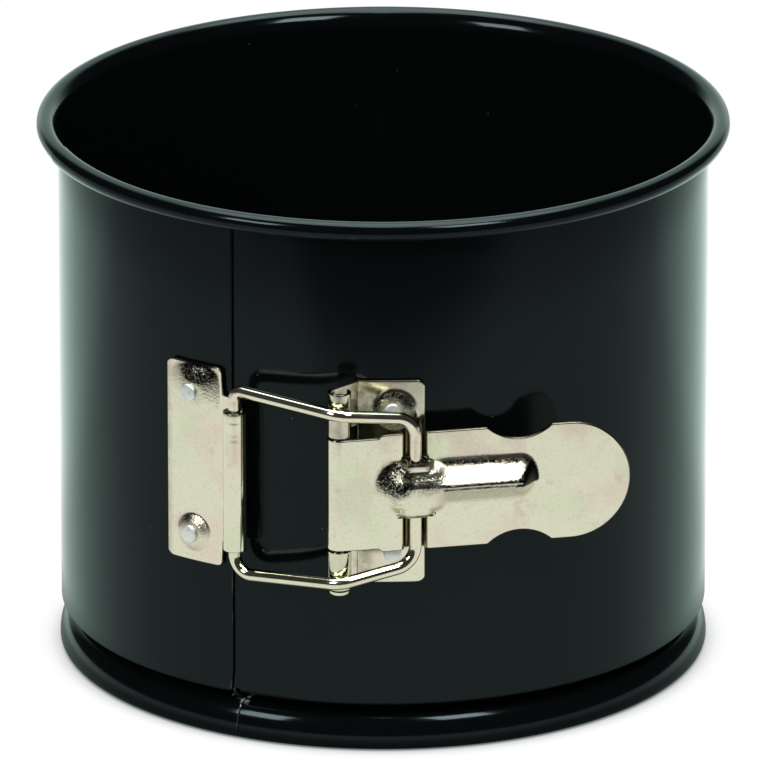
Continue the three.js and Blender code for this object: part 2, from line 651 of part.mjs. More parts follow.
/** The bail's wire from one end of the catch's roll, through the lever's seat, to the other end. */
function bail() {
  const { centre } = catchSpine();
  const start = CATCH_TONGUE_HEIGHT / 2 + CLEARANCE;
  const bow = pinAxis.clone().addScaledVector(new THREE.Vector2(0, -1), BAIL_BOW);
  const arms = (sign, corner) => [
    [centre, sign * start, 0],
    [centre, sign * BAIL_WIDTH_AT_CATCH / 2 - BAIL_DROP_AT_CATCH, corner],
    [bow, sign * BAIL_WIDTH_AT_HINGE / 2, BAIL_BOW_RADIUS],
    [seatAxis, sign * BAIL_WIDTH_AT_LEVER / 2, BAIL_SEAT_CORNER],
  ];
  const knots = [...arms(1, BAIL_UPPER_CORNER), ...arms(-1, BAIL_LOWER_CORNER).reverse()];
  const points = knots.map(([p, z]) => new THREE.Vector3(p.x, p.y, LATCH_HEIGHT + z));
  const section = new THREE.Shape().absarc(0, 0, wireRadius, 0, 2 * Math.PI, false);
  return new THREE.ExtrudeGeometry(section, {
    steps: BAIL_STEPS,
    curveSegments: WIRE_SIDES / 2,
    bevelEnabled: false,
    extrudePath: roundedPath(points, knots.map(([, , r]) => r)),
  });
}

/** The bail's straight leg, which turns inside the catch plate's roll. */
function bailLeg() {
  const half = CATCH_TONGUE_HEIGHT / 2;
  const { centre } = catchSpine();
  return uprightCylinder(wireRadius, centre, LATCH_HEIGHT - half, LATCH_HEIGHT + half, WIRE_SIDES);
}

const pan = new THREE.Group();

/** Adds a named piece with its own material. */
function addPiece(name, geometry, finish) {
  const mesh = new THREE.Mesh(geometry, new THREE.MeshStandardMaterial(finish));
  mesh.name = name;
  pan.add(mesh);
  return mesh;
}

/** Adds the two rivets of a plate, upper and lower. */
function addRivets(prefix, turn, plateSheet, hasInnerHead) {
  const names = [`${prefix}_rivet_upper`, `${prefix}_rivet_lower`];
  rivetCentres(turn).forEach((centre, i) => {
    const mesh = addPiece(names[i], rivet(plateSheet, hasInnerHead), rivetMetal);
    mesh.quaternion.copy(rivetRotation(turn));
    mesh.position.copy(centre);
  });
}

addPiece('ring_right', ringRight(), coating);
addPiece('ring_left', ringLeft(), coating);
addPiece('base', base(), coating);
addPiece('catch_plate', catchPlate(), nickel);
addRivets('catch', CATCH_RIVETS_AT, CATCH_SHEET, false);
addPiece('hinge_bracket', hingeBracket(), nickel);
addRivets('bracket', BRACKET_RIVETS_AT, BRACKET_SHEET, true);
addPiece('hinge_pin', hingePin(), nickel);
addPiece('lever', lever(), nickel);
addPiece('bail', bail(), nickel);
addPiece('bail_leg', bailLeg(), nickel);

export default pan;
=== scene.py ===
"""Looks of a deep springform cake pan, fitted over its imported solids.

Sizes are in millimetres and turns in radians until a mesh is made, which is in metres. A turn is
counted from the front of the pan, where the latch is, and is positive to the right.
"""
import logging
import math
from dataclasses import dataclass
from enum import Enum
from typing import Callable, Optional, Sequence, Union

import bpy
import numpy as np
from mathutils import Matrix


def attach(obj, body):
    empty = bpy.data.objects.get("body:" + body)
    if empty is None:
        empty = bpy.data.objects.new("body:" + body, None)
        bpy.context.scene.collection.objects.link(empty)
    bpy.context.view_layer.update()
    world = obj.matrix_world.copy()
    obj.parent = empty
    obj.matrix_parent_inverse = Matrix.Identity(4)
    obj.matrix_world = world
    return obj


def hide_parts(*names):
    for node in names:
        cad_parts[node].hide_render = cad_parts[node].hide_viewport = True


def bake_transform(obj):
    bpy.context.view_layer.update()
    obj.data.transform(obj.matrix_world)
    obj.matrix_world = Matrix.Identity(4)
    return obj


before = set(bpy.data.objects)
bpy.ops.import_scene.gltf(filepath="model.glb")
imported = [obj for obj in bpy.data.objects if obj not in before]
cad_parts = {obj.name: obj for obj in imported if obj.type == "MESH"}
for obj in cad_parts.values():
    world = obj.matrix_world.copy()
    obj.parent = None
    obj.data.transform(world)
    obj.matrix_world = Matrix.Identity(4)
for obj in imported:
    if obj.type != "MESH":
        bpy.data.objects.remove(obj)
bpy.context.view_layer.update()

LOG = logging.getLogger("springform")
Array = np.ndarray
Real = Union[float, Array]
Material = bpy.types.Material
Socket = bpy.types.NodeSocket
Span = tuple[float, float]
MM = 0.001
CLEARANCE = 0.3
LATCH_HEIGHT = 70.5
RIVET_OFFSET = 18.4
BOSS_FLANK = 0.25
CUT_EDGE: Span = (0.32, 0.12)
UP = np.array([0.0, 0.0, 1.0])


class Body(Enum):
    """The bodies that pieces ride on."""

    PAN = "pan"
    LEFT = "left_half"
    LEVER = "lever"
    BAIL = "bail"


class Slot(Enum):
    """The record's material slots."""

    COATING = "coating"
    PLATING = "plating"
    RIVET = "rivet"


def rad(degrees: float) -> float:
    """Degrees as radians."""
    return math.radians(degrees)


def ease(value: Real, start: float, stop: float) -> Array:
    """A smooth step, 3t^2 - 2t^3, from 0 at start to 1 at stop.

    Args:
        value: where to read the step.
        start: the value at which it is 0.
        stop: the value at which it is 1.

    Returns:
        The step, with the shape of value.
    """
    t = np.clip((np.asarray(value, float) - start) / (stop - start), 0.0, 1.0)
    return t * t * (3.0 - 2.0 * t)


def bell(value: Real, centre: float, width: float) -> Array:
    """A rounded bump, exp(-((value - centre) / width)^2), of height 1."""
    return np.exp(-(((np.asarray(value, float) - centre) / width) ** 2))


def ramp(value: Array, first: float, last: float) -> Array:
    """A straight ramp from 0 at 0 to 1 at 1, whose two bends are rounded by parabolas.

    Args:
        value: where to read the ramp.
        first: half the length of the bend at 0.
        last: half the length of the bend at 1.

    Returns:
        The ramp, with the shape of value.
    """
    def bent(x: Array, soft: float) -> Array:
        """Zero below a bend at 0 and x above it, with a parabola between."""
        return np.where(x > soft, x, np.clip(x + soft, 0.0, None) ** 2 / (4.0 * soft))

    return bent(value, first) - bent(value - 1.0, last)


def rounded(distance: Array, width: float, least: float = 0.12) -> Array:
    """The share of a sheet's thickness near an edge: a quarter circle over width, down to least."""
    t = 1.0 - np.clip(np.asarray(distance, float) / width, 0.0, 1.0)
    return least + (1.0 - least) * np.sqrt(1.0 - t * t)


def on_ring(radius: Real, turn: Real) -> Array:
    """Points in plan at a radius from the pan's axis and a turn from the front.

    Args:
        radius: distance from the axis.
        turn: turn from the front.

    Returns:
        The points, with x and y on the last axis.
    """
    return np.stack(np.broadcast_arrays(radius * np.sin(turn), -radius * np.cos(turn)), -1)


def unit(vectors: Array) -> Array:
    """Vectors made one long."""
    return vectors / np.linalg.norm(vectors, axis=-1, keepdims=True)


def circle(angle: Array) -> Array:
    """Points of the unit circle, (cos a, sin a)."""
    return np.stack([np.cos(angle), np.sin(angle)], -1)


def run_lengths(points: Array) -> Array:
    """The distance along a run of points, at each of them."""
    return np.concatenate([[0.0], np.cumsum(np.linalg.norm(np.diff(points, axis=0), axis=1))])


def corner_trim(distance: Array, radius: float) -> Array:
    """How far a round corner cuts an edge back, at a distance along it from the corner."""
    near = np.clip(1.0 - distance / radius, 0.0, 1.0)
    return radius * (1.0 - np.sqrt(1.0 - near ** 2))


def at_latch(plan: Array, z: Array) -> Array:
    """Points from their places in plan and their heights above the latch's middle."""
    return np.concatenate([plan, (LATCH_HEIGHT + z)[:, :, None]], -1)


class Outline:
    """A run of points in a plane, grown from straight lines and arcs."""

    def __init__(self, start: Sequence[float]) -> None:
        """Starts the run at a point."""
        self._parts = [np.array([start], float)]

    def line(self, end: Sequence[float], count: int = 4, margin: float = 0.25) -> "Outline":
        """Adds a straight line, with a point close to each end so that shading stays flat.

        Args:
            end: where the line ends.
            count: steps between the two close points.
            margin: distance of the close points from the ends.

        Returns:
            This run.
        """
        start = self._parts[-1][-1]
        end = np.array(end, float)
        share = min(margin / max(float(np.linalg.norm(end - start)), 1e-9), 0.3)
        steps = np.concatenate([np.linspace(share, 1.0 - share, count + 1), [1.0]])
        self._parts.append(start + steps[:, None] * (end - start))
        return self

    def arc(self, centre: Sequence[float], radius: Union[float, Span], start: float, stop: float,
            count: int) -> "Outline":
        """Adds an arc, (cx + w cos a, cy + h sin a), without its first point.

        Args:
            centre: the arc's centre.
            radius: its radius, or the half width and half height of an ellipse.
            start: the angle it starts at.
            stop: the angle it stops at.
            count: steps along it.

        Returns:
            This run.
        """
        angle = np.linspace(start, stop, count + 1)[1:]
        self._parts.append(np.array(centre) + np.asarray(radius) * circle(angle))
        return self

    def points(self) -> Array:
        """The whole run."""
        return np.concatenate(self._parts)


def left_normals(points: Array) -> Array:
    """Normals to the left of a run of points, lengthened at corners so that an offset is even.

    Args:
        points: the run, of shape (n, 2).

    Returns:
        One normal for each point.
    """
    along = unit(np.diff(points, axis=0))
    before = np.concatenate([along[:1], along])
    after = np.concatenate([along, along[-1:]])
    middle = before + after
    normal = unit(np.stack([-middle[:, 1], middle[:, 0]], -1))
    side = np.stack([-after[:, 1], after[:, 0]], -1)
    return normal / np.sum(normal * side, axis=1, keepdims=True)


def sheet_loop(points: Array, thickness: float, edge_steps: int = 4) -> Array:
    """The closed section of a sheet along a run of points, with half-round edges.

    Args:
        points: the middle of the sheet, of shape (n, 2).
        thickness: the sheet's thickness.
        edge_steps: steps round each edge.

    Returns:
        The loop's points.
    """
    normal = left_normals(points)
    half = thickness / 2
    angle = np.linspace(0.0, math.pi, edge_steps + 1)[1:-1, None]
    along = unit(points[-1] - points[-2])
    back = unit(points[0] - points[1])
    far = points[-1] + half * (-np.cos(angle) * normal[-1] + np.sin(angle) * along)
    near = points[0] + half * (np.cos(angle) * normal[0] + np.sin(angle) * back)
    return np.concatenate([points - half * normal, far, (points + half * normal)[::-1], near])


def grid_faces(rows: int, columns: int, closed: bool) -> Array:
    """Quads between neighbours on a grid of points.

    Args:
        rows: points along the first parameter.
        columns: points along the second.
        closed: whether the second parameter runs round to its start.

    Returns:
        Point numbers, four to a face.
    """
    index = np.arange(rows * columns).reshape(rows, columns)
    if closed:
        index = np.concatenate([index, index[:, :1]], axis=1)
    corners = [index[:-1, :-1], index[:-1, 1:], index[1:, 1:], index[1:, :-1]]
    return np.stack([c.ravel() for c in corners], -1)


def signed_volume(points: Array, faces: Sequence[Array]) -> float:
    """Six times the volume inside closed faces, negative where they point inwards.

    Args:
        points: the points, of shape (n, 3).
        faces: groups of faces with as many corners each.

    Returns:
        The volume.
    """
    total = 0.0
    for group in faces:
        a = points[group[:, 0]]
        for k in range(1, group.shape[1] - 1):
            cross = np.cross(points[group[:, k]], points[group[:, k + 1]])
            total += float(np.sum(a * cross))
    return total


@dataclass
class Shell:
    """A closed surface: its points, its faces and named values at its points."""

    points: Array
    faces: list[Array]
    values: dict[str, Array]

    def compact(self) -> "Shell":
        """Drops the points that no face uses.

        Returns:
            The smaller surface.
        """
        used = np.unique(np.concatenate([group.ravel() for group in self.faces]))
        number = np.zeros(len(self.points), int)
        number[used] = np.arange(len(used))
        values = {name: value[used] for name, value in self.values.items()}
        return Shell(self.points[used], [number[group] for group in self.faces], values)

    def facing_out(self) -> "Shell":
        """Turns the faces outwards.

        Returns:
            This surface, or its copy with every face reversed.
        """
        if signed_volume(self.points, self.faces) >= 0.0:
            return self
        return Shell(self.points, [group[:, ::-1] for group in self.faces], self.values)


def swept(grid: Array, values: Optional[dict[str, Array]] = None) -> Shell:
    """A closed surface through loops of points, with a flat cap at each end.

    Args:
        grid: points of shape (loops, points round a loop, 3).
        values: named values at those points.

    Returns:
        The surface.
    """
    rows, columns = grid.shape[:2]
    last = (rows - 1) * columns
    ring = np.arange(columns)
    caps = np.stack([ring[::-1], last + ring])
    faces = [grid_faces(rows, columns, True), caps]
    flat = {name: value.ravel() for name, value in (values or {}).items()}
    return Shell(grid.reshape(-1, 3), faces, flat).facing_out()


def turned(profile: Array, centre: Sequence[float], axis: Array, segments: int) -> Shell:
    """A surface of revolution: a profile of radius and height carried round an axis.

    Args:
        profile: radius and height, of shape (n, 2), on the axis only at its two ends.
        centre: the point of the axis at height 0.
        axis: unit vector along it.
        segments: steps round it.

    Returns:
        The surface.
    """
    other = UP if abs(axis[2]) < 0.9 else np.array([1.0, 0.0, 0.0])
    side = unit(np.cross(other, axis))
    front = np.cross(axis, side)
    angle = np.linspace(0.0, 2.0 * math.pi, segments, endpoint=False)[:, None]
    spokes = np.cos(angle) * side + np.sin(angle) * front
    body = profile[1:-1]
    grid = np.asarray(centre) + body[:, None, :1] * spokes + body[:, None, 1:] * axis
    ends = np.asarray(centre) + profile[[0, -1], 1:] * axis
    points = np.concatenate([grid.reshape(-1, 3), ends])
    first = np.arange(segments)
    after = np.roll(first, -1)
    last = (len(body) - 1) * segments
    bottom = np.stack([after, first, np.full(segments, len(points) - 2)], -1)
    top = np.stack([last + first, last + after, np.full(segments, len(points) - 1)], -1)
    return Shell(points, [grid_faces(len(body), segments, True), bottom, top], {}).facing_out()


def paced(surface: Array, axis: int) -> Array:
    """The distance covered along one axis of a surface, as the median over the other axis.

    Args:
        surface: the surface, of shape (n, m, 3).
        axis: the axis that is followed.

    Returns:
        A rising value for each step of that axis.
    """
    gaps = np.median(np.linalg.norm(np.diff(surface, axis=axis), axis=2), axis=1 - axis)
    return np.concatenate([[0.0], np.cumsum(np.maximum(gaps, 1e-4))])


def pressed(middle: Array, thickness: Real, keep: Optional[Array] = None,
            values: Optional[dict[str, Array]] = None) -> Shell:
    """A pressed sheet: both faces lie half its thickness from a middle surface, along its normals.

    The normals are the cross products of the surface's two slopes. Cells that aren't kept are cut
    out, and a wall closes each edge that is left.

    Args:
        middle: the middle surface, of shape (n, m, 3).
        thickness: the sheet's thickness, one value or one for each point.
        keep: which of its (n - 1, m - 1) cells are there.
        values: named values at its points.

    Returns:
        The closed surface.
    """
    rows, columns = middle.shape[:2]
    slopes = [np.gradient(middle, paced(middle, axis), axis=axis) for axis in (0, 1)]
    normal = np.cross(*slopes)
    normal /= np.maximum(np.linalg.norm(normal, axis=2, keepdims=True), 1e-12)
    kept = np.ones((rows - 1, columns - 1), bool) if keep is None else keep
    back = rows * columns
    front = grid_faces(rows, columns, False)[kept.ravel()]
    padded = np.pad(kept, 1)
    index = np.arange(back).reshape(rows, columns)
    sides = (((0, -1), (1, 0), (0, 0)), ((1, 0), (1, 1), (1, 0)),
             ((0, 1), (0, 1), (1, 1)), ((-1, 0), (0, 0), (0, 1)))
    walls = []
    for (down, right), (a_row, a_column), (b_row, b_column) in sides:
        beside = padded[1 + down:rows + down, 1 + right:columns + right]
        i, j = np.nonzero(kept & ~beside)
        a = index[i + a_row, j + a_column]
        b = index[i + b_row, j + b_column]
        walls.append(np.stack([a, b, back + b, back + a], -1))
    offset = (np.broadcast_to(thickness, middle.shape[:2]) / 2)[:, :, None] * normal
    points = np.concatenate([(middle + offset).reshape(-1, 3), (middle - offset).reshape(-1, 3)])
    doubled = {name: np.tile(value.ravel(), 2) for name, value in (values or {}).items()}
    return Shell(points, [front, back + front[:, ::-1], *walls], doubled).compact().facing_out()


def make_piece(name: str, shells: Sequence[Shell], body: Optional[Body],
               replaces: Sequence[str], material: Material,
               sharp: Optional[float] = 40.0) -> bpy.types.Object:
    """Puts surfaces into one mesh object and ties it to the frame.

    Args:
        name: the piece's name.
        shells: its surfaces.
        body: the body it rides on, or None, which leaves it on no body.
        replaces: the nodes it stands for.
        material: its finish.
        sharp: edges over this many degrees stay sharp, and None smooths them all.

    Returns:
        The object.
    """
    counts = np.cumsum([0] + [len(shell.points) for shell in shells])
    points = np.concatenate([shell.points for shell in shells]) * MM
    faces = [(group + start).tolist() for shell, start in zip(shells, counts) for group in shell.faces]
    mesh = bpy.data.meshes.new(name)
    mesh.from_pydata(points.tolist(), [], [face for group in faces for face in group])
    for key in dict.fromkeys(key for shell in shells for key in shell.values):
        parts = [shell.values.get(key, np.zeros(len(shell.points))) for shell in shells]
        layer = mesh.attributes.new(key, "FLOAT", "POINT")
        layer.data.foreach_set("value", np.concatenate(parts).astype(np.float32))
    mesh.shade_smooth()
    if sharp is not None:
        mesh.set_sharp_from_angle(angle=rad(sharp))
    mesh.materials.append(material)
    piece = bpy.data.objects.new(name, mesh)
    bpy.context.scene.collection.objects.link(piece)
    if body is not None:
        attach(piece, body.value)
    if replaces:
        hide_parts(*replaces)
    LOG.info("%s: %d points, %d faces", name, len(points), len(mesh.polygons))
    return piece


class Value:
    """A shader socket that takes part in Python arithmetic, each operation adding a Math node."""

    def __init__(self, net: "Net", socket: Socket) -> None:
        """Wraps an output socket of a net."""
        self.net = net
        self.socket = socket

    def __add__(self, other: "Number") -> "Value":
        """The sum."""
        return self.net.math("ADD", self, other)

    def __sub__(self, other: "Number") -> "Value":
        """The difference."""
        return self.net.math("SUBTRACT", self, other)

    def __rsub__(self, other: float) -> "Value":
        """The difference from a number on the left."""
        return self.net.math("SUBTRACT", other, self)

    def __mul__(self, other: "Number") -> "Value":
        """The product."""
        return self.net.math("MULTIPLY", self, other)

    __radd__ = __add__
    __rmul__ = __mul__


Number = Union[Value, float]
Colour = tuple[float, float, float, float]


class Net:
    """A node tree, with one method that adds any node and short ones for those used most."""

    def __init__(self, tree: bpy.types.NodeTree) -> None:
        """Empties the tree."""
        self.tree = tree
        tree.nodes.clear()

    def node(self, kind: str, settings: Optional[dict] = None,
             sockets: Optional[dict] = None) -> bpy.types.Node:
        """Adds a node.

        Args:
            kind: the node's type.
            settings: its properties, set first.
            sockets: values or links of its inputs, by name or number.

        Returns:
            The node.
        """
        made = self.tree.nodes.new(kind)
        for key, value in (settings or {}).items():
            setattr(made, key, value)
        for key, value in (sockets or {}).items():
            target = made.inputs[key]
            if isinstance(value, Value):
                value = value.socket
            if isinstance(value, Socket):
                self.tree.links.new(value, target)
            else:
                target.default_value = value
        return made

    def value(self, kind: str, settings: dict, sockets: dict, output: Union[int, str] = 0) -> Value:
        """One output of a new node, ready for arithmetic."""
        return Value(self, self.node(kind, settings, sockets).outputs[output])

    def math(self, operation: str, *inputs: Number) -> Value:
        """A Math node's result."""
        return self.value("ShaderNodeMath", {"operation": operation}, dict(enumerate(inputs)))

    def clamp(self, value: Number) -> Value:
        """A value held between 0 and 1."""
        return self.value("ShaderNodeClamp", {}, {0: value})

    def step(self, value: Number, start: float, stop: float) -> Value:
        """A smooth step of a value, 0 at start and 1 at stop."""
        return self.value("ShaderNodeMapRange", {"interpolation_type": "SMOOTHSTEP"},
                          {0: value, 1: start, 2: stop, 3: 0.0, 4: 1.0})

    def rays(self) -> tuple[Value, Value]:
        """1 on rays from the camera, and 1 on mirrored rays."""
        outputs = self.node("ShaderNodeLightPath").outputs
        return Value(self, outputs["Is Camera Ray"]), Value(self, outputs["Is Glossy Ray"])

    def place(self) -> Socket:
        """Object coordinates."""
        return self.node("ShaderNodeTexCoord").outputs["Object"]

    def parts(self, vector: Socket) -> tuple[Value, Value, Value]:
        """A vector's x, y and z."""
        made = self.node("ShaderNodeSeparateXYZ", {}, {0: vector})
        return tuple(Value(self, output) for output in made.outputs)

    def noise(self, vector: Socket, scale: float, detail: float = 2.0,
              stretch: Sequence[float] = (1.0, 1.0, 1.0)) -> Value:
        """Fractal noise from 0 to 1.

        Args:
            vector: where it is read.
            scale: features to a metre.
            detail: octaves.
            stretch: how much finer it is along x, y and z.

        Returns:
            The noise.
        """
        mapped = self.node("ShaderNodeMapping", {}, {"Vector": vector, "Scale": tuple(stretch)})
        sockets = {"Vector": mapped.outputs[0], "Scale": scale, "Detail": detail, "Roughness": 0.55}
        return self.value("ShaderNodeTexNoise", {}, sockets)

    def specks(self, vector: Socket, scale: float, size: float) -> Value:
        """Scattered dots: 1 within size cell widths of a cell's point, and 0 elsewhere.

        Args:
            vector: where they are read.
            scale: cells to a metre.
            size: a dot's radius in cell widths.

        Returns:
            The dots.
        """
        sockets = {"Vector": vector, "Scale": scale, "Randomness": 1.0}
        distance = self.value("ShaderNodeTexVoronoi", {}, sockets, "Distance")
        return 1.0 - self.step(distance, size * 0.6, size)

    def attribute(self, name: str) -> Value:
        """A named value of the mesh."""
        return self.value("ShaderNodeAttribute", {"attribute_name": name}, {}, "Fac")

    def mix(self, factor: Number, first: Union[Colour, Socket],
            second: Union[Colour, Socket]) -> Socket:
        """A colour between two colours."""
        sockets = {0: factor, 6: first, 7: second}
        return self.node("ShaderNodeMix", {"data_type": "RGBA"}, sockets).outputs[2]

    def bump(self, height: Value, depth: float, strength: float) -> Socket:
        """A normal bent by a height, whose full range is depth millimetres."""
        sockets = {"Height": height, "Distance": depth * MM, "Strength": strength}
        return self.node("ShaderNodeBump", {}, sockets).outputs[0]

    def surface(self, sockets: dict) -> None:
        """Ends the tree in a Principled surface.

        Args:
            sockets: values or links of its inputs.
        """
        shader = self.node("ShaderNodeBsdfPrincipled", {}, sockets)
        self.node("ShaderNodeOutputMaterial", {}, {"Surface": shader.outputs[0]})


def new_material(name: str) -> tuple[Material, Net]:
    """An empty material and its net.

    Args:
        name: the material's name.

    Returns:
        Both.
    """
    material = bpy.data.materials.new(name)
    material.use_nodes = True
    return material, Net(material.node_tree)


@dataclass(frozen=True)
class CoatingFinish:
    """Black non-stick coating: a dark mirror over a little dark film, with orange peel and dust specks.

    The mirror's colour is what it reflects head on, and its edge colour is the tint at grazing angles.
    """

    mirror: Colour = (0.0094, 0.0126, 0.0134, 1.0)
    edge: Colour = (0.82, 1.0, 0.94, 1.0)
    dust: Colour = (0.16, 0.17, 0.17, 1.0)
    steel: Colour = (0.5, 0.5, 0.48, 1.0)
    mirror_share: float = 0.8
    roughness: float = 0.09
    roughness_spread: float = 0.05
    refraction: float = 1.25

    def make(self) -> Material:
        """Builds the shader, with bare steel along the strip's low cut edge.

        Returns:
            The material.
        """
        material, net = new_material("nonstick_coating")
        place = net.place()
        cloud = net.noise(place, 28.0, 3.0)
        grain = net.noise(place, 1900.0, 2.0)
        specks = net.specks(place, 110.0, 0.02)
        _, _, height = net.parts(place)
        low = 1.0 - net.step(height, 0.028, 0.046)
        bare = net.attribute("edge") * net.step(net.noise(place, 45.0, 2.0), 0.4, 0.58) * low
        net.surface({
            "Base Color": net.mix(bare, net.mix(specks * 0.8, self.mirror, self.dust), self.steel),
            "Metallic": self.mirror_share - 0.6 * specks,
            "Roughness": self.roughness + self.roughness_spread * cloud + 0.3 * specks,
            "IOR": self.refraction,
            "Specular Tint": self.edge,
            "Normal": net.bump(grain, 0.004, 0.35),
        })
        return material


@dataclass(frozen=True)
class PlatingFinish:
    """Bright warm nickel with faint clouds of colour.

    Pressed flanks have a fine grain, hollows and scuffs are brown, and cut edges are dark. The brown
    in the lever's sunk seat is painted shade, and mottled dark patches are painted shade standing in
    for dark reflections.
    """

    pale: Colour = (0.67, 0.675, 0.51, 1.0)
    rose: Colour = (0.7, 0.625, 0.5, 1.0)
    leaf: Colour = (0.62, 0.665, 0.47, 1.0)
    stain: Colour = (0.1, 0.065, 0.03, 1.0)
    # The colour of the painted shade, which the cut edges share.
    shadow: Colour = (0.009, 0.01, 0.008, 1.0)
    roughness: float = 0.1
    cloud_scale: float = 85.0
    leaf_scale: float = 70.0
    grain_scale: float = 1500.0
    smudge_scale: float = 210.0
    blotch_scale: float = 420.0
    mottle_scale: float = 1900.0
    peel_scale: float = 2300.0
    wave_scale: float = 140.0
    bump_depth: float = 0.12

    def make(self) -> Material:
        """Builds the shader, which reads the marks of pressing from a sheet's attributes.

        Returns:
            The material.
        """
        material, net = new_material("nickel_plating")
        place = net.place()
        marks = ("hollow", "flank", "scuff", "cut", "shade")
        hollow, flank, scuff, cut, shade = map(net.attribute, marks)
        rosy = net.step(net.noise(place, self.cloud_scale, 3.0), 0.46, 0.64)
        leafy = net.step(net.noise(place, self.leaf_scale, 3.0, (1.0, 1.3, 0.8)), 0.5, 0.66)
        colour = net.mix(leafy * 0.8, net.mix(rosy * 0.85, self.pale, self.rose), self.leaf)
        grain = net.step(net.noise(place, self.grain_scale), 0.5, 0.8)
        colour = net.mix(grain * 0.16, colour, self.stain)
        smudge = net.step(net.noise(place, self.smudge_scale, 4.0), 0.6, 0.78)
        blotch = net.step(net.noise(place, self.blotch_scale), 0.3, 0.65)
        # Hollows darken brown: stain, and in the lever's sunk seat painted shade.
        hollow_stain_and_shade = net.clamp(hollow * (0.55 + 0.75 * blotch))
        colour = net.mix(hollow_stain_and_shade * 0.9, net.mix(smudge * 0.18, colour, self.stain), self.stain)
        pits = net.specks(place, self.blotch_scale, 0.05)
        colour = net.mix(net.clamp(pits * 0.15 + scuff * 0.85), colour, self.stain)
        # Painted shade: mottled dark patches from the shade values stand in for dark reflections; cut
        # edges darken too.
        mottle = net.step(net.noise(place, self.mottle_scale), 0.36, 0.62)
        colour = net.mix(net.clamp(shade * (0.55 + 0.7 * mottle) + cut * 0.9), colour, self.shadow)
        peel = net.noise(place, self.peel_scale) * (0.03 + 0.97 * flank)
        height = peel + net.noise(place, self.wave_scale) * 0.14
        net.surface({
            "Base Color": colour,
            "Metallic": 1.0,
            "Roughness": self.roughness + 0.08 * rosy + 0.14 * net.clamp(hollow) + 0.13 * flank,
            "Normal": net.bump(height, self.bump_depth, 1.0),
        })
        return material


@dataclass(frozen=True)
class RivetFinish:
    """Pale set rivet: a cool satin metal with hammer marks."""

    metal: Colour = (0.76, 0.82, 0.78, 1.0)
    shade: Colour = (0.55, 0.6, 0.58, 1.0)
    roughness: float = 0.42

    def make(self) -> Material:
        """Builds the shader.

        Returns:
            The material.
        """
        material, net = new_material("rivet_metal")
        place = net.place()
        marks = net.noise(place, 750.0, 3.0)
        colour = net.mix(net.step(marks, 0.5, 0.75), self.metal, self.shade)
        net.surface({
            "Base Color": colour,
            "Metallic": 1.0,
            "Roughness": self.roughness + 0.15 * marks,
            "Normal": net.bump(marks, 0.06, 0.6),
        })
        return material


@dataclass
class Finishes:
    """The object's materials."""

    coating: Material
    plating: Material
    rivet: Material


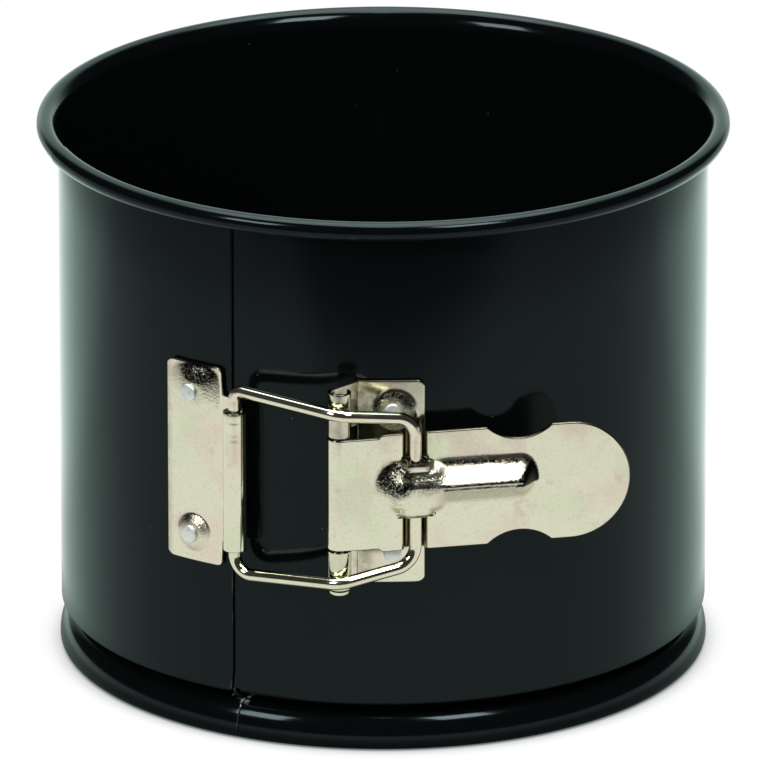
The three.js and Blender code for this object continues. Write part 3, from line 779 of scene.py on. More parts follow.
@dataclass
class Ring:
    """The sprung ring: a strip with lapped ends, a rolled rim and a foot channel under a neck."""

    wall_outer: float = 80.5
    sheet: float = 0.5
    height: float = 137.8
    rim_reach: float = 5.2
    curl_radius: float = 2.3
    curl_wrap: float = rad(300.0)
    flare_radius: float = 5.0
    flare_angle: float = rad(45.0)
    lap_flare: float = rad(14.0)
    foot_height: float = 9.1
    foot_bulge: float = 0.4
    foot_lip: float = 5.2
    foot_corner: float = 1.4
    foot_low: float = 1.65
    neck_opening: float = 2.6
    neck_depth: float = 5.6
    wall_fold: float = 0.6
    outer_end: float = rad(-27.2)
    foot_end: float = rad(-26.3)
    inner_end: float = rad(-71.0)
    joggle_from: float = rad(-10.0)
    joggle_to: float = rad(-22.0)
    back_from: float = rad(148.0)
    step: float = rad(0.8)
    curl_growth: float = 0.22
    lap_corner: float = 2.6

    @property
    def lap_offset(self) -> float:
        """How far the lap's inner layer steps in."""
        return self.sheet + CLEARANCE

    def outline(self, inset: float = 0.0, growth: float = 0.0, thin: float = 1.0, foot: bool = True,
                rim: bool = True) -> Array:
        """The strip's section as radius and height.

        From the foot's lip it turns up the foot, in along the neck, out to the wall, up the wall,
        out along the flare and round the curl.

        Args:
            inset: how far the wall steps in.
            growth: how much larger the curl is.
            thin: the share of the sheet's thickness that is left.
            foot: whether the foot and neck are there.
            rim: whether the curl and the whole flare are there.

        Returns:
            A closed loop, always with as many points for the same foot and rim.
        """
        half = self.sheet / 2
        wall = self.wall_outer - half - inset
        foot_mid = self.wall_outer + self.foot_bulge - half
        neck_low = self.foot_height - half
        neck_high = neck_low + self.neck_opening + self.sheet
        neck_radius = (neck_high - neck_low) / 2
        neck_centre = self.wall_outer - self.neck_depth - half + neck_radius
        curl = self.curl_radius + growth - half
        curl_r = self.wall_outer + self.rim_reach - self.curl_radius
        curl_z = self.height - self.curl_radius
        lean = self.flare_angle
        start_r = curl_r - curl * math.cos(lean)
        start_z = curl_z + curl * math.sin(lean)
        straight = (start_r - wall - self.flare_radius * (1.0 - math.cos(lean))) / math.sin(lean)
        flare_z = start_z - straight * math.cos(lean) - self.flare_radius * math.sin(lean)
        quarter = math.pi / 2
        if foot:
            run = Outline((foot_mid - self.foot_lip, half))
            run.line((foot_mid - self.foot_corner, half))
            corner = (foot_mid - self.foot_corner, half + self.foot_corner)
            run.arc(corner, self.foot_corner, -quarter, 0.0, 8)
            shoulder = (foot_mid - neck_centre, neck_low - self.foot_low)
            run.arc((neck_centre, self.foot_low), shoulder, 0.0, quarter, 24)
            run.arc((neck_centre, neck_low + neck_radius), neck_radius, -quarter, -3.0 * quarter, 12)
            run.line((wall - self.wall_fold, neck_high))
            fold = (wall - self.wall_fold, neck_high + self.wall_fold)
            run.arc(fold, self.wall_fold, -quarter, 0.0, 6)
        else:
            run = Outline((wall, neck_high + self.wall_fold + CLEARANCE))
        run.line((wall, flare_z), 24)
        flare = (wall + self.flare_radius, flare_z)
        if rim:
            run.arc(flare, self.flare_radius, math.pi, math.pi - lean, 8)
            run.line((start_r, start_z))
            run.arc((curl_r, curl_z), curl, math.pi - lean, math.pi - lean - self.curl_wrap, 26)
        else:
            run.arc(flare, self.flare_radius, math.pi, math.pi - self.lap_flare, 4)
        return sheet_loop(run.points(), self.sheet * thin)

    def sector(self, start: float, stop: Real, loops: Callable[[Array], Array],
               flat: Optional[Array] = None) -> Shell:
        """A sector of the strip: the point at radius r and height z goes to (r sin t, -r cos t, z).

        Args:
            start: the turn it starts at.
            stop: the turn it stops at, one value or one for each point of the loop.
            loops: gives the loop at each of an array of turns.
            flat: the loop with no thickness, where the edge at stop is rounded.

        Returns:
            The sector, closed at both ends.
        """
        reach = float(np.max(np.abs(np.asarray(stop) - start)))
        share = np.linspace(0.0, 1.0, max(2, int(math.ceil(reach / self.step)) + 1))
        if flat is not None:
            from_edge = np.array([0.4, 0.22, 0.1, 0.03])
            share = np.concatenate([share[:-1], 1.0 - from_edge / self.wall_outer / reach, [1.0]])
        section = loops(start + share * (float(np.mean(stop)) - start))
        if flat is not None:
            left = rounded((1.0 - share) * reach * self.wall_outer, 0.28)[:, None, None]
            section = flat + left * (section - flat)
        turns = start + share[:, None] * (np.broadcast_to(stop, section.shape[1:2]) - start)
        plan = on_ring(section[:, :, 0], turns)
        bare = ease((1.0 - share) * reach * self.wall_outer, 0.26, 0.06) * (flat is not None)
        edge = np.broadcast_to(bare[:, None], section.shape[:2])
        return swept(np.concatenate([plan, section[:, :, 1:]], -1), {"edge": edge})

    def plain(self, **parts: bool) -> Callable[[Array], Array]:
        """Loops that are the same at every turn."""
        loop = self.outline(**parts)
        return lambda turns: np.broadcast_to(loop, (len(turns), *loop.shape))

    def lapped(self, **parts: bool) -> Callable[[Array], Array]:
        """Loops whose wall eases in behind the lap and whose curl eases larger over it.

        Args:
            parts: which parts of the section are there.

        Returns:
            A function from turns to loops.
        """
        loop = self.outline(**parts)
        inwards = self.outline(inset=self.lap_offset, **parts) - loop
        larger = self.outline(growth=self.curl_growth, **parts) - loop

        def at(turns: Array) -> Array:
            """The loop at each turn: the plain one, plus a share of each of the two changes.

            Args:
                turns: the turns.

            Returns:
                The loops.
            """
            inset = ease(turns, self.joggle_from, self.joggle_to)[:, None, None]
            growth = ease(turns, self.outer_end, self.inner_end)[:, None, None]
            return loop + inset * inwards + growth * larger

        return at

    def outer_edge(self) -> Array:
        """The turn at which the outer layer ends, rounded at its lower corner.

        Returns:
            One turn for each point of its loop.
        """
        loop = self.outline(rim=False)
        low = self.foot_height + self.neck_opening
        back = corner_trim(loop[:, 1] - low, self.lap_corner) / self.wall_outer
        return np.where(loop[:, 1] > self.foot_height, self.outer_end - back, self.foot_end)

    def build(self, finish: Material) -> None:
        """Makes the right part, the left part and the part at the back, which rides on no body.

        Args:
            finish: the coating.
        """
        gap = CLEARANCE / self.wall_outer
        right = [
            self.sector(self.foot_end + gap, self.back_from, self.lapped()),
            self.sector(self.inner_end, self.foot_end + gap, self.lapped(foot=False)),
        ]
        left = [
            self.sector(-self.back_from, self.inner_end - gap, self.plain()),
            self.sector(self.inner_end - gap, self.outer_edge(), self.plain(rim=False),
                        self.outline(thin=0.02, rim=False)),
        ]
        back = [self.sector(self.back_from, 2.0 * math.pi - self.back_from, self.plain())]
        make_piece("ring_right_wall", right, Body.PAN, ["ring_right"], finish)
        make_piece("ring_left_wall", left, Body.LEFT, ["ring_left"], finish)
        bend = make_piece("ring_back_wall", back, None, [], finish)
        right_side = on_ring(self.wall_outer, self.back_from) * MM
        left_side = on_ring(self.wall_outer, -self.back_from) * MM
        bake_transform(bend)


@dataclass
class Base:
    """The loose base: a flat panel with an upturned edge in the foot's channel."""

    sheet: float = 0.6
    edge: float = 79.8
    seat: float = 1.1
    drop: float = 0.5
    step_from: float = 73.95
    step_to: float = 75.15
    corner: float = 1.4
    top: float = 3.0

    def build(self, finish: Material) -> None:
        """Turns the base's section round the pan's axis.

        Args:
            finish: the coating.
        """
        panel = self.seat - self.drop
        run = Outline((0.0, panel))
        run.line((self.step_from, panel), 12)
        run.line((self.step_to, self.seat), 2)
        run.line((self.edge - self.corner, self.seat))
        bend = (self.edge - self.corner, self.seat + self.corner)
        run.arc(bend, self.corner, -math.pi / 2, 0.0, 8)
        run.line((self.edge, self.top))
        points = run.points()
        normal = left_normals(points)
        half = self.sheet / 2
        profile = np.concatenate([points - half * normal, (points + half * normal)[::-1]])
        shell = turned(profile, (0.0, 0.0, 0.0), UP, 300)
        make_piece("base_panel", [shell], Body.PAN, ["base"], finish)


@dataclass
class Rivet:
    """A rivet through a plate and the ring: a low domed head on a shank."""

    ring: Ring
    shank: float = 1.3
    head: float = 2.2
    head_height: float = 0.9

    def shell(self, turn: float, height: float, seat: float, inner_head: bool) -> Shell:
        """One rivet.

        Args:
            turn: the turn of the plate's rivet line.
            height: the rivet's height above the latch's middle.
            seat: how far its head's underside is from the wall.
            inner_head: whether there is a set head inside the ring.

        Returns:
            Its surface.
        """
        angle = np.linspace(0.0, math.pi / 2, 8)
        crown = np.stack([self.head - 0.5 * (1.0 - np.cos(angle)),
                          seat + self.head_height * (0.45 + 0.4 * np.sin(angle))], -1)
        swell = 0.86 + 0.1 * np.sin(np.linspace(0.1, math.pi / 2, 6))
        dome = np.stack([np.linspace(self.head - 0.62, 0.0, 6), seat + self.head_height * swell], -1)
        under = [[self.shank, seat], [self.head - 0.05, seat], [self.head, seat + 0.06]]
        deep = -self.ring.sheet
        if inner_head:
            low = deep - CLEARANCE
            bottom = np.array([[0.0, low - 0.8], [self.head - 0.6, low - 0.7],
                               [self.head - 0.1, low - 0.4], [self.head, low - 0.1],
                               [self.head - 0.05, low], [self.shank, low]])
        else:
            bottom = np.array([[0.0, deep], [self.shank - 0.05, deep], [self.shank, deep + 0.05]])
        profile = np.concatenate([bottom, under, crown, dome])
        place = on_ring(self.ring.wall_outer, turn)
        axis = np.array([*on_ring(1.0, turn), 0.0])
        return turned(profile, (*place, LATCH_HEIGHT + height), axis, 48)

    def build(self, prefix: str, turn: float, seats: dict[str, float], body: Body,
              finish: Material) -> None:
        """Makes a plate's two rivets.

        Args:
            prefix: the plate's name in the nodes.
            turn: the turn of the rivet line.
            seats: how far the upper and lower heads' undersides are from the wall.
            body: the body the plate rides on.
            finish: the rivet's metal.
        """
        for place, seat in seats.items():
            node = f"{prefix}_rivet_{place}"
            height = RIVET_OFFSET if place == "upper" else -RIVET_OFFSET
            shell = self.shell(turn, height, seat, body is Body.PAN)
            make_piece(f"{node}_head", [shell], body, [node], finish, 35.0)


@dataclass(frozen=True)
class Boss:
    """A boss under a rivet: flat within a circle, then a cone that falls straight to the plate."""

    height: float
    shift: float
    flat_radius: float
    slope: float

    def relief(self, along: Array, across: Array) -> Array:
        """How far the sheet stands out.

        Args:
            along: distance from the rivet along the plate.
            across: distance from it across the plate.

        Returns:
            The height at each point.
        """
        beyond = np.hypot(along - self.shift, across) - self.flat_radius
        return self.height * (1.0 - ramp(beyond / self.slope, 0.12, 0.2))


def apart(along: Array, across: Array, place: Span, size: Span = (1.0, 1.0)) -> Array:
    """Distance from a place on a sheet, in half widths and half heights of an ellipse round it."""
    return np.hypot((along - place[0]) / size[0], (across - place[1]) / size[1])


def edge_ladder(low: float, high: float, count: int) -> Array:
    """Even steps from low to high, with close ones at both ends for the rounded edges.

    Args:
        low: the first value.
        high: the last value.
        count: even steps between.

    Returns:
        The rising values.
    """
    close = np.array([0.0, 0.03, 0.08, 0.16, 0.3])
    even = np.linspace(low + 0.45, high - 0.45, count)
    return np.concatenate([low + close, even, (high - close)[::-1]])


@dataclass
class CatchPlate:
    """The catch plate on the ring's outer end, its tongue rolled round the bail's leg."""

    ring: Ring
    sheet: float = 1.0
    start: float = rad(-40.1)
    stop: float = rad(-28.8)
    rivets_at: float = rad(-34.7)
    half_height: float = 25.7
    corner: float = 2.0
    tongue_half: float = 19.1
    tongue_length: float = 6.2
    tongue_lift: float = rad(15.0)
    roll_trim: float = 2.2
    roll_wrap: float = rad(292.0)
    wire_radius: float = 1.55
    edge_round: float = 0.3
    boss_low: Boss = Boss(1.15, 0.4, 2.5, 2.3)
    boss_high: Boss = Boss(1.35, 1.0, 2.9, 5.0)
    # Where the painted shade lies: a patch above the upper rivet.
    patch_at: Span = (2.2, 23.4)
    patch_size: Span = (5.6, 2.9)
    scuff_from: float = 5.4
    scuffs: Sequence[tuple[float, float, float]] = (
        (14.3, 0.22, 1.0), (11.2, 0.14, 1.0), (9.8, 0.3, 0.6))

    @property
    def radius(self) -> float:
        """The radius of the plate's middle surface."""
        return self.ring.wall_outer + CLEARANCE + self.sheet / 2

    @property
    def roll_radius(self) -> float:
        """The radius of the roll's middle surface."""
        return self.wire_radius + CLEARANCE + self.sheet / 2

    def heading(self) -> tuple[Array, Array, float]:
        """The way the tongue points.

        Returns:
            Its direction, its outward side and its angle.
        """
        angle = self.stop - self.tongue_lift
        return (np.array([math.cos(angle), math.sin(angle)]),
                np.array([math.sin(angle), -math.cos(angle)]), angle)

    def roll_start(self) -> Array:
        """Where the tongue turns into the roll."""
        along, _, _ = self.heading()
        return on_ring(self.radius, self.stop) + along * (self.tongue_length + CLEARANCE)

    def roll_centre(self) -> Array:
        """The roll's axis, which the bail turns about."""
        _, out, _ = self.heading()
        return self.roll_start() + self.roll_radius * out

    def spine(self) -> tuple[Array, int, int]:
        """The sheet's middle line in plan: an arc on the ring, a straight tongue and the roll's arc.

        Returns:
            Its points, and how many are on the plate and before the roll.
        """
        span = self.radius * (self.stop - self.start)
        plate = on_ring(self.radius, self.start + edge_ladder(0.0, span, 40) / self.radius)
        share = np.linspace(0.0, 1.0, 15)[1:, None]
        tongue = plate[-1] + share * (self.roll_start() - plate[-1])
        _, _, angle = self.heading()
        bend = angle + math.pi / 2 - np.linspace(0.0, self.roll_wrap, 44)[1:]
        roll = self.roll_centre() + self.roll_radius * circle(bend)
        return np.concatenate([plate, tongue, roll]), len(plate), len(plate) + len(tongue)

    def build(self, finishes: Finishes) -> None:
        """Presses the plate and sets its rivets and the bail's leg.

        The middle surface is the spine carried up from the plate's lower edge to its upper one. Round
        each rivet it stands out in a boss.

        Args:
            finishes: the object's materials.
        """
        spine, plate_count, roll_from = self.spine()
        length = run_lengths(spine)[:, None]
        plate_end = length[plate_count - 1]
        roll_start = length[roll_from - 1]
        trim = corner_trim(length, self.corner) + corner_trim(plate_end - length, 0.6 * self.corner)
        on_plate = np.arange(len(spine))[:, None] < plate_count
        half = np.where(on_plate, self.half_height - trim, self.tongue_half)
        cut_back = self.roll_trim * ease(length, roll_start, roll_start + 0.6)
        share = edge_ladder(-self.half_height, self.half_height, 110) / self.half_height
        z = share * half - 0.5 * (1.0 + share) * cut_back
        from_rivet = length - self.radius * (self.rivets_at - self.start)
        low = self.boss_low.relief(from_rivet, z + RIVET_OFFSET)
        high = self.boss_high.relief(from_rivet, z - RIVET_OFFSET)
        relief = (low + high * ease(self.half_height - np.abs(z), 0.0, 2.2)) * on_plate
        relief = relief * ease(np.minimum(length, plate_end - length), 0.0, 1.6)
        plan = spine[:, None, :] - left_normals(spine)[:, None, :] * relief[:, :, None]
        across = half - np.abs(z + 0.5 * cut_back) - 0.5 * cut_back
        inside = np.minimum(across, np.minimum(length, length[-1] - length))
        rolled = length - length[roll_from]
        stain = 0.25 * ease(np.abs(rolled + 1.2), 1.4, 0.2) + 0.3 * ease(length, 2.2, 0.2)
        # Painted shade for dark reflections: a mottled patch above the upper rivet and an arc on the
        # upper left of the lower one.
        shade = 1.0 - ease(apart(from_rivet, z, self.patch_at, self.patch_size), 0.7, 1.1)
        arc = bell(np.hypot(from_rivet, z + RIVET_OFFSET), 3.7, 0.9)
        arc = arc * ease(from_rivet, 1.2, -0.6) * ease(z, -18.6, -17.0)
        scuffs = sum(depth * bell(z, place, width) for place, width, depth in self.scuffs)
        values = {
            "flank": np.clip(relief / BOSS_FLANK, 0.0, 1.0),
            "hollow": stain + 0.5 * bell(z, 16.6, 0.5) * (rolled > 0.0),
            "scuff": bell(rolled, self.scuff_from, 0.8) * scuffs,
            "shade": (shade + 0.8 * arc) * on_plate,
            "cut": ease(inside, *CUT_EDGE),
        }
        shell = pressed(at_latch(plan, z), self.sheet * rounded(inside, self.edge_round), values=values)
        make_piece("catch_plate_sheet", [shell], Body.LEFT, ["catch_plate"],
                   finishes.plating, None)
        seat = self.sheet + CLEARANCE
        seats = {"upper": seat + self.boss_high.height, "lower": seat + self.boss_low.height}
        Rivet(self.ring).build("catch", self.rivets_at, seats, Body.LEFT, finishes.rivet)
        reach = self.tongue_half + 0.14
        radius = self.wire_radius
        leg = Outline((0.0, -reach)).line((radius, -reach), 1, 0.05).line((radius, reach), 4)
        leg.line((0.0, reach), 1, 0.05)
        rod = turned(leg.points(), (*self.roll_centre(), LATCH_HEIGHT), UP, 40)
        make_piece("bail_leg_wire", [rod], Body.LEFT, ["bail_leg"], finishes.plating)


@dataclass
class HingeBracket:
    """The hinge bracket: a plate on the ring whose two tongues roll round the hinge pin."""

    ring: Ring
    sheet: float = 0.8
    stop: float = rad(7.2)
    rivets_at: float = rad(1.6)
    half_height: float = 26.1
    corner: float = 2.0
    flange_angle: float = rad(225.0)
    knuckle_wrap: float = rad(265.0)
    knuckle_inner: float = 14.6
    knuckle_set_back: float = 1.4
    pin_x: float = -10.6
    pin_standoff: float = 9.2
    pin_radius: float = 1.8
    pin_head: float = 2.6
    pin_head_height: float = 1.1
    pin_recess: float = 1.2
    edge_round: float = 0.28
    boss: Boss = Boss(1.1, -0.5, 2.5, 2.6)

    def pin_axis(self) -> Array:
        """The hinge pin's axis in plan."""
        wall = math.sqrt(self.ring.wall_outer ** 2 - self.pin_x ** 2)
        return np.array([self.pin_x, -wall - self.pin_standoff])

    def spine(self) -> tuple[Array, int, float]:
        """The sheet's middle line in plan: an arc on the ring, a straight tongue and the knuckle's arc.

        Returns:
            Its points, how many are on the plate, and the plate's radius.
        """
        radius = self.ring.wall_outer + CLEARANCE + self.sheet / 2
        roll_radius = self.pin_radius + CLEARANCE + self.sheet / 2
        centre = self.pin_axis()
        heading = np.array([math.cos(self.flange_angle), math.sin(self.flange_angle)])
        roll_start = centre + roll_radius * np.array([heading[1], -heading[0]])
        reach = float(roll_start @ heading)
        flange = reach - math.sqrt(reach ** 2 - float(roll_start @ roll_start) + radius ** 2)
        plate_end = roll_start - flange * heading
        span = radius * (self.stop - math.atan2(plate_end[0], -plate_end[1]))
        plate = on_ring(radius, self.stop - edge_ladder(0.0, span, 40) / radius)
        tongue = plate[-1] + np.linspace(0.0, 1.0, 20)[1:, None] * (roll_start - plate[-1])
        bend = self.flange_angle - math.pi / 2 + np.linspace(0.0, self.knuckle_wrap, 46)[1:]
        return np.concatenate([plate, tongue, centre + roll_radius * circle(bend)]), len(plate), radius

    def build(self, finishes: Finishes) -> None:
        """Presses the bracket and sets its rivets and pin.

        The middle surface is the spine carried up in three bands: a lower tongue, the plate between
        the tongues and an upper tongue. Past the plate's edge the middle band is cut away.

        Args:
            finishes: the object's materials.
        """
        spine, plate_count, radius = self.spine()
        length = run_lengths(spine)[:, None]
        past = length - length[plate_count - 1]
        outer = self.half_height - corner_trim(length, self.corner)
        lower = outer - self.knuckle_set_back * ease(past, 0.0, 0.8)
        inner = self.knuckle_inner
        close = np.array([0.0, 0.004, 0.01, 0.02])
        band = np.concatenate([close, np.linspace(0.035, 0.965, 34), 1.0 - close[::-1]])
        between = np.tile(np.linspace(-inner, inner, 90)[1:-1], (len(spine), 1))
        tongues = (-lower + band * (lower - inner), inner + band * (outer - inner))
        z = np.concatenate([tongues[0], between, tongues[1]], axis=1)
        keep = np.ones((len(spine) - 1, z.shape[1] - 1), bool)
        keep[plate_count - 1:, len(band) - 1:-(len(band) - 1)] = False
        from_rivet = length - radius * (self.stop - self.rivets_at)
        on_plate = past < -1.0
        relief = self.boss.relief(from_rivet, z - RIVET_OFFSET) * on_plate
        plan = spine[:, None, :] + left_normals(spine)[:, None, :] * relief[:, :, None]
        across = np.where(z > 0.0, outer - z, lower + z)
        inside = np.minimum(across, np.minimum(length, length[-1] - length))
        beyond = past >= 0.0
        inside = np.where(beyond, np.minimum(inside, np.abs(z) - inner), inside)
        by_fold = bell(past, -1.5, 2.4) * ease(np.abs(z), 14.0, 18.0)
        # Painted shade for a dark reflection: a mottled arc round the upper rivet, above it.
        arc = bell(np.hypot(from_rivet, z - RIVET_OFFSET), 4.2, 1.1)
        values = {
            "flank": np.clip(relief / BOSS_FLANK, 0.0, 1.0),
            # Darker and browner toward the top, by the fold and past the plate's edge.
            "hollow": 0.17 * ease(z, 8.0, 14.0) + 0.42 * by_fold + 0.12 * beyond,
            "shade": arc * ease(z, 17.6, 20.0) * on_plate,
            "cut": ease(inside, *CUT_EDGE),
        }
        shell = pressed(at_latch(plan, z), self.sheet * rounded(inside, self.edge_round), keep, values)
        make_piece("hinge_bracket_sheet", [shell], Body.PAN, ["hinge_bracket"],
                   finishes.plating, None)
        seat = self.sheet + CLEARANCE
        seats = {"upper": seat + self.boss.height, "lower": seat}
        Rivet(self.ring).build("bracket", self.rivets_at, seats, Body.PAN, finishes.rivet)
        low = self.knuckle_set_back - self.half_height - CLEARANCE
        high = self.half_height - self.pin_recess
        angle = np.linspace(-math.pi / 2, 0.0, 7)
        dome = np.array([self.pin_head - 0.7, low - 0.4]) + 0.7 * circle(angle)
        shank = np.array([[self.pin_head, low - 0.05], [self.pin_head - 0.05, low],
                          [self.pin_radius, low], [self.pin_radius, high - 0.2],
                          [self.pin_radius - 0.2, high], [0.0, high]])
        profile = np.concatenate([[[0.0, low - self.pin_head_height]], dome, shank])
        pin = turned(profile, (*self.pin_axis(), LATCH_HEIGHT), UP, 40)
        make_piece("hinge_pin_rod", [pin], Body.PAN, ["hinge_pin"],
                   finishes.plating, 35.0)


@dataclass
class Lever:
    """The lever: a barrel on the pin, a sunk seat for the bail, a ridge over it, a waist and a grip."""

    pin: Array
    sheet: float = 0.9
    tilt: float = rad(12.0)
    length: float = 71.6
    roll_wrap: float = rad(285.0)
    pin_hole: float = 2.1
    width: float = 30.2
    barrel_inset: float = 0.8
    barrel_step_at: float = 9.0
    barrel_step: float = 1.2
    seat_at: float = 18.2
    seat_sink: float = 0.15
    seat_half: float = 2.15
    seat_wall: float = 1.4
    wire_hole: float = 1.85
    bridge_top: float = 7.4
    bridge_low: float = -5.7
    bridge_edge: float = 2.5
    bridge_from: float = 11.6
    bridge_to: float = 26.2
    bridge_blend: float = 4.6
    ridge_from: float = 14.8
    ridge_to: float = 44.2
    ridge_end: float = 1.35
    ridge_middle: float = 1.4
    ridge_height: float = 3.8
    ridge_crest: float = 0.3
    ridge_slope: float = 4.8
    dome_radius: float = 6.8
    dome_height: float = 2.6
    waist_at: float = 44.2
    waist_radius: float = 11.9
    waist_depth: float = 3.2
    grip_inset: float = 0.2
    edge_round: float = 0.3
    slit: float = 0.6
    # Where the painted shade lies: a patch on the dome with a bright spot left in it, and one by the
    # bridge.
    patch_at: Span = (13.0, 3.7)
    glint_at: Span = (14.4, 3.9)
    bridge_patch_at: Span = (20.6, 2.2)
    bridge_patch_size: Span = (3.4, 2.0)

    @property
    def grip_radius(self) -> float:
        """The grip's radius."""
        return self.width / 2 - self.grip_inset

    @property
    def grip_at(self) -> float:
        """The grip's centre along the lever."""
        return self.length - self.grip_radius

    @property
    def face(self) -> float:
        """How far the blade's outer face is from the pin's axis."""
        return self.pin_hole + self.sheet

    @property
    def side(self) -> Array:
        """The direction out of the blade's face, in plan."""
        return np.array([math.sin(self.tilt), -math.cos(self.tilt)])

    def place(self, along: Real, out: Real) -> Array:
        """Points in plan at a distance along the lever from the pin and out from it."""
        ahead = np.array([math.cos(self.tilt), math.sin(self.tilt)])
        return self.pin + np.asarray(along)[..., None] * ahead + np.asarray(out)[..., None] * self.side

    def seat_axis(self) -> Array:
        """The axis that the bail turns about in its seat."""
        return self.place(self.seat_at, self.face - self.seat_sink)

    def half_width(self, along: Array) -> Array:
        """The half width along the lever: the barrel's step, the blade, the waist's arc and the grip.

        Args:
            along: distances from the pin.

        Returns:
            The half widths.
        """
        narrow = 1.0 - ease(along, self.barrel_step_at, self.barrel_step_at + self.barrel_step)
        blade = self.width / 2 - self.barrel_inset * narrow
        blade = np.where(along > self.waist_at, self.grip_radius, blade)
        centre = self.width / 2 - self.waist_depth + self.waist_radius
        reach = self.waist_radius ** 2 - (along - self.waist_at) ** 2
        waist = np.where(reach > 0.0, centre - np.sqrt(np.clip(reach, 0.0, None)), blade)
        grip = np.sqrt(np.clip(self.grip_radius ** 2 - (along - self.grip_at) ** 2, 0.25, None))
        return np.where(along > self.grip_at, grip, np.minimum(blade, waist))

    def relief(self, along: Array, z: Array) -> tuple[Array, Array]:
        """How far the face stands out and how far it is sunk.

        The ridge falls straight with the distance from a line along the blade, so that its far end is
        round, and its near end eases into a low dome. Over the seat it widens to an arch that bridges
        the wire, whose edges are lifted there and close down to the blade on either side. The seat is a
        flat-bottomed trough across the blade above and below the bridge.

        Args:
            along: distances from the pin.
            z: heights above the lever's middle line.

        Returns:
            The ridge's height and the seat's depth.
        """
        sink = self.seat_sink + self.wire_hole + 0.15
        up = z - self.ridge_middle
        from_seat = np.abs(along - self.seat_at)
        beyond = along - np.clip(along, self.ridge_from, self.ridge_to)
        distance = np.hypot(beyond * np.where(beyond > 0.0, self.ridge_end, 1.0), up)
        cone = 1.0 - ramp((distance - self.ridge_crest) / self.ridge_slope, 0.14, 0.32)
        dome = (1.0 - ease(distance, 0.2, self.dome_radius)) * self.dome_height / self.ridge_height
        cone = dome + (cone - dome) * ease(along, self.ridge_from - 2.5, self.ridge_from + 1.2)
        arch = np.where(up > 0.0, 1.0 - ease(up, 0.1, 4.4), 1.0 - ease(-up, 0.2, 7.2))
        arch = self.bridge_edge + (self.ridge_height - self.bridge_edge) * arch
        closed = ease(from_seat, self.seat_half - 0.2, self.seat_half + 2.6)
        rim = np.maximum(ease(z, self.bridge_top - 2.6, self.bridge_top),
                         ease(-z, -self.bridge_low - 2.6, -self.bridge_low))
        bridged = ease(along, self.bridge_from, self.bridge_from + self.bridge_blend)
        bridged = bridged * (1.0 - ease(along, self.bridge_to - self.bridge_blend, self.bridge_to))
        in_seat = 1.0 - ease(from_seat, self.seat_half, self.seat_half + self.seat_wall)
        beside = (z > self.bridge_top + 0.02) | (z < self.bridge_low - 0.02)
        bridge = np.where(beside, 0.0, bridged * arch * (1.0 - closed * rim))
        ridge = bridge + (1.0 - bridged) * self.ridge_height * cone
        return ridge, np.where(beside, sink * in_seat, 0.0)

    def build(self, finishes: Finishes) -> None:
        """Presses the lever.

        The middle surface runs from the roll along the blade, with the half width giving its two edges
        and the relief pushed out of the blade's face. Where ridge and seat part, the sheet is slit.

        Args:
            finishes: the object's materials.
        """
        roll_radius = self.pin_hole + self.sheet / 2
        bend = math.pi / 2 + np.linspace(self.roll_wrap, 0.0, 50)[:-1]
        roll = self.place(roll_radius * np.cos(bend), roll_radius * np.sin(bend))
        turn = np.linspace(math.pi / 2, rad(2.0), 46)
        blade_along = np.concatenate([np.linspace(0.0, self.grip_at, 220)[:-1],
                                      self.grip_at + self.grip_radius * np.cos(turn)])
        along = np.concatenate([np.full(len(roll), -1.0), blade_along])[:, None]
        half = self.half_width(along)
        above = edge_ladder(self.bridge_top + 0.3, self.width / 2, 18)[5:]
        below = edge_ladder(0.3 - self.bridge_low, self.width / 2, 22)[5:]
        bridge = np.linspace(self.bridge_low, self.bridge_top, 97)
        slits = ([self.bridge_low - 0.04], [self.bridge_top + 0.04])
        ladder = np.concatenate([-below[::-1], slits[0], bridge, slits[1], above])
        z = ladder / (self.width / 2) * half
        ridge, sink = self.relief(along, z)
        flat = np.concatenate([roll, self.place(blade_along, self.face - self.sheet / 2)])
        middle = at_latch(flat[:, None, :] + (ridge - sink)[:, :, None] * self.side, z)
        inside = half - np.abs(z)
        round_grip = self.grip_radius - apart(along, z, (self.grip_at, 0.0))
        inside = np.where(along > self.grip_at, np.minimum(inside, round_grip), inside)
        step = np.abs(np.diff(ridge - sink, axis=1))
        torn = np.maximum(step[:-1], step[1:]) > self.slit
        raised = sink < 0.01
        rise_along = np.gradient(ridge, paced(middle, 0), axis=0)
        slope = np.hypot(np.gradient(ridge, ladder, axis=1), rise_along)
        # The sunk seat darkens brown with its depth, and the bridge's lips beside it too: painted shade
        # in the recess.
        by_seat = ease(np.abs(along - self.seat_at), 4.4, 2.6)
        lips = np.clip(bell(z, self.bridge_top, 0.5) + bell(z, self.bridge_low, 0.35), 0.0, 1.0)
        # Painted shade for dark reflections: a mottled patch on the dome with a bright spot left
        # unshaded, a patch by the bridge, and bands along the ridge's bends and its far end.
        glint = bell(apart(along, z, self.glint_at), 0.0, 1.1)
        patch = (1.0 - ease(apart(along, z, self.patch_at), 2.8, 5.4)) * (1.0 - 0.85 * glint)
        bridge_shade = bell(apart(along, z, self.bridge_patch_at, self.bridge_patch_size), 0.0, 1.0)
        on_ridge = ease(z, self.ridge_middle - 1.0, self.ridge_middle - 0.2) * ease(along, 23.0, 25.5)
        shaded_ridge_tip = ease(along - 0.9 * z, 41.0, 42.4) * ease(slope, 0.1, 0.5)
        bends = (bell(slope, 0.4, 0.2) + 2.5 * shaded_ridge_tip) * on_ridge
        values = {
            "flank": np.clip(slope * 3.0, 0.0, 1.0) * raised,
            "hollow": np.clip(sink / 1.4, 0.0, 1.0) + by_seat * lips * raised,
            "shade": np.clip(patch + 0.7 * bridge_shade + bends, 0.0, 2.5) * raised,
            "cut": ease(inside, *CUT_EDGE),
        }
        shell = pressed(middle, self.sheet * rounded(inside, self.edge_round), ~torn, values)
        make_piece("lever_blade", [shell], Body.LEVER, ["lever"], finishes.plating, None)


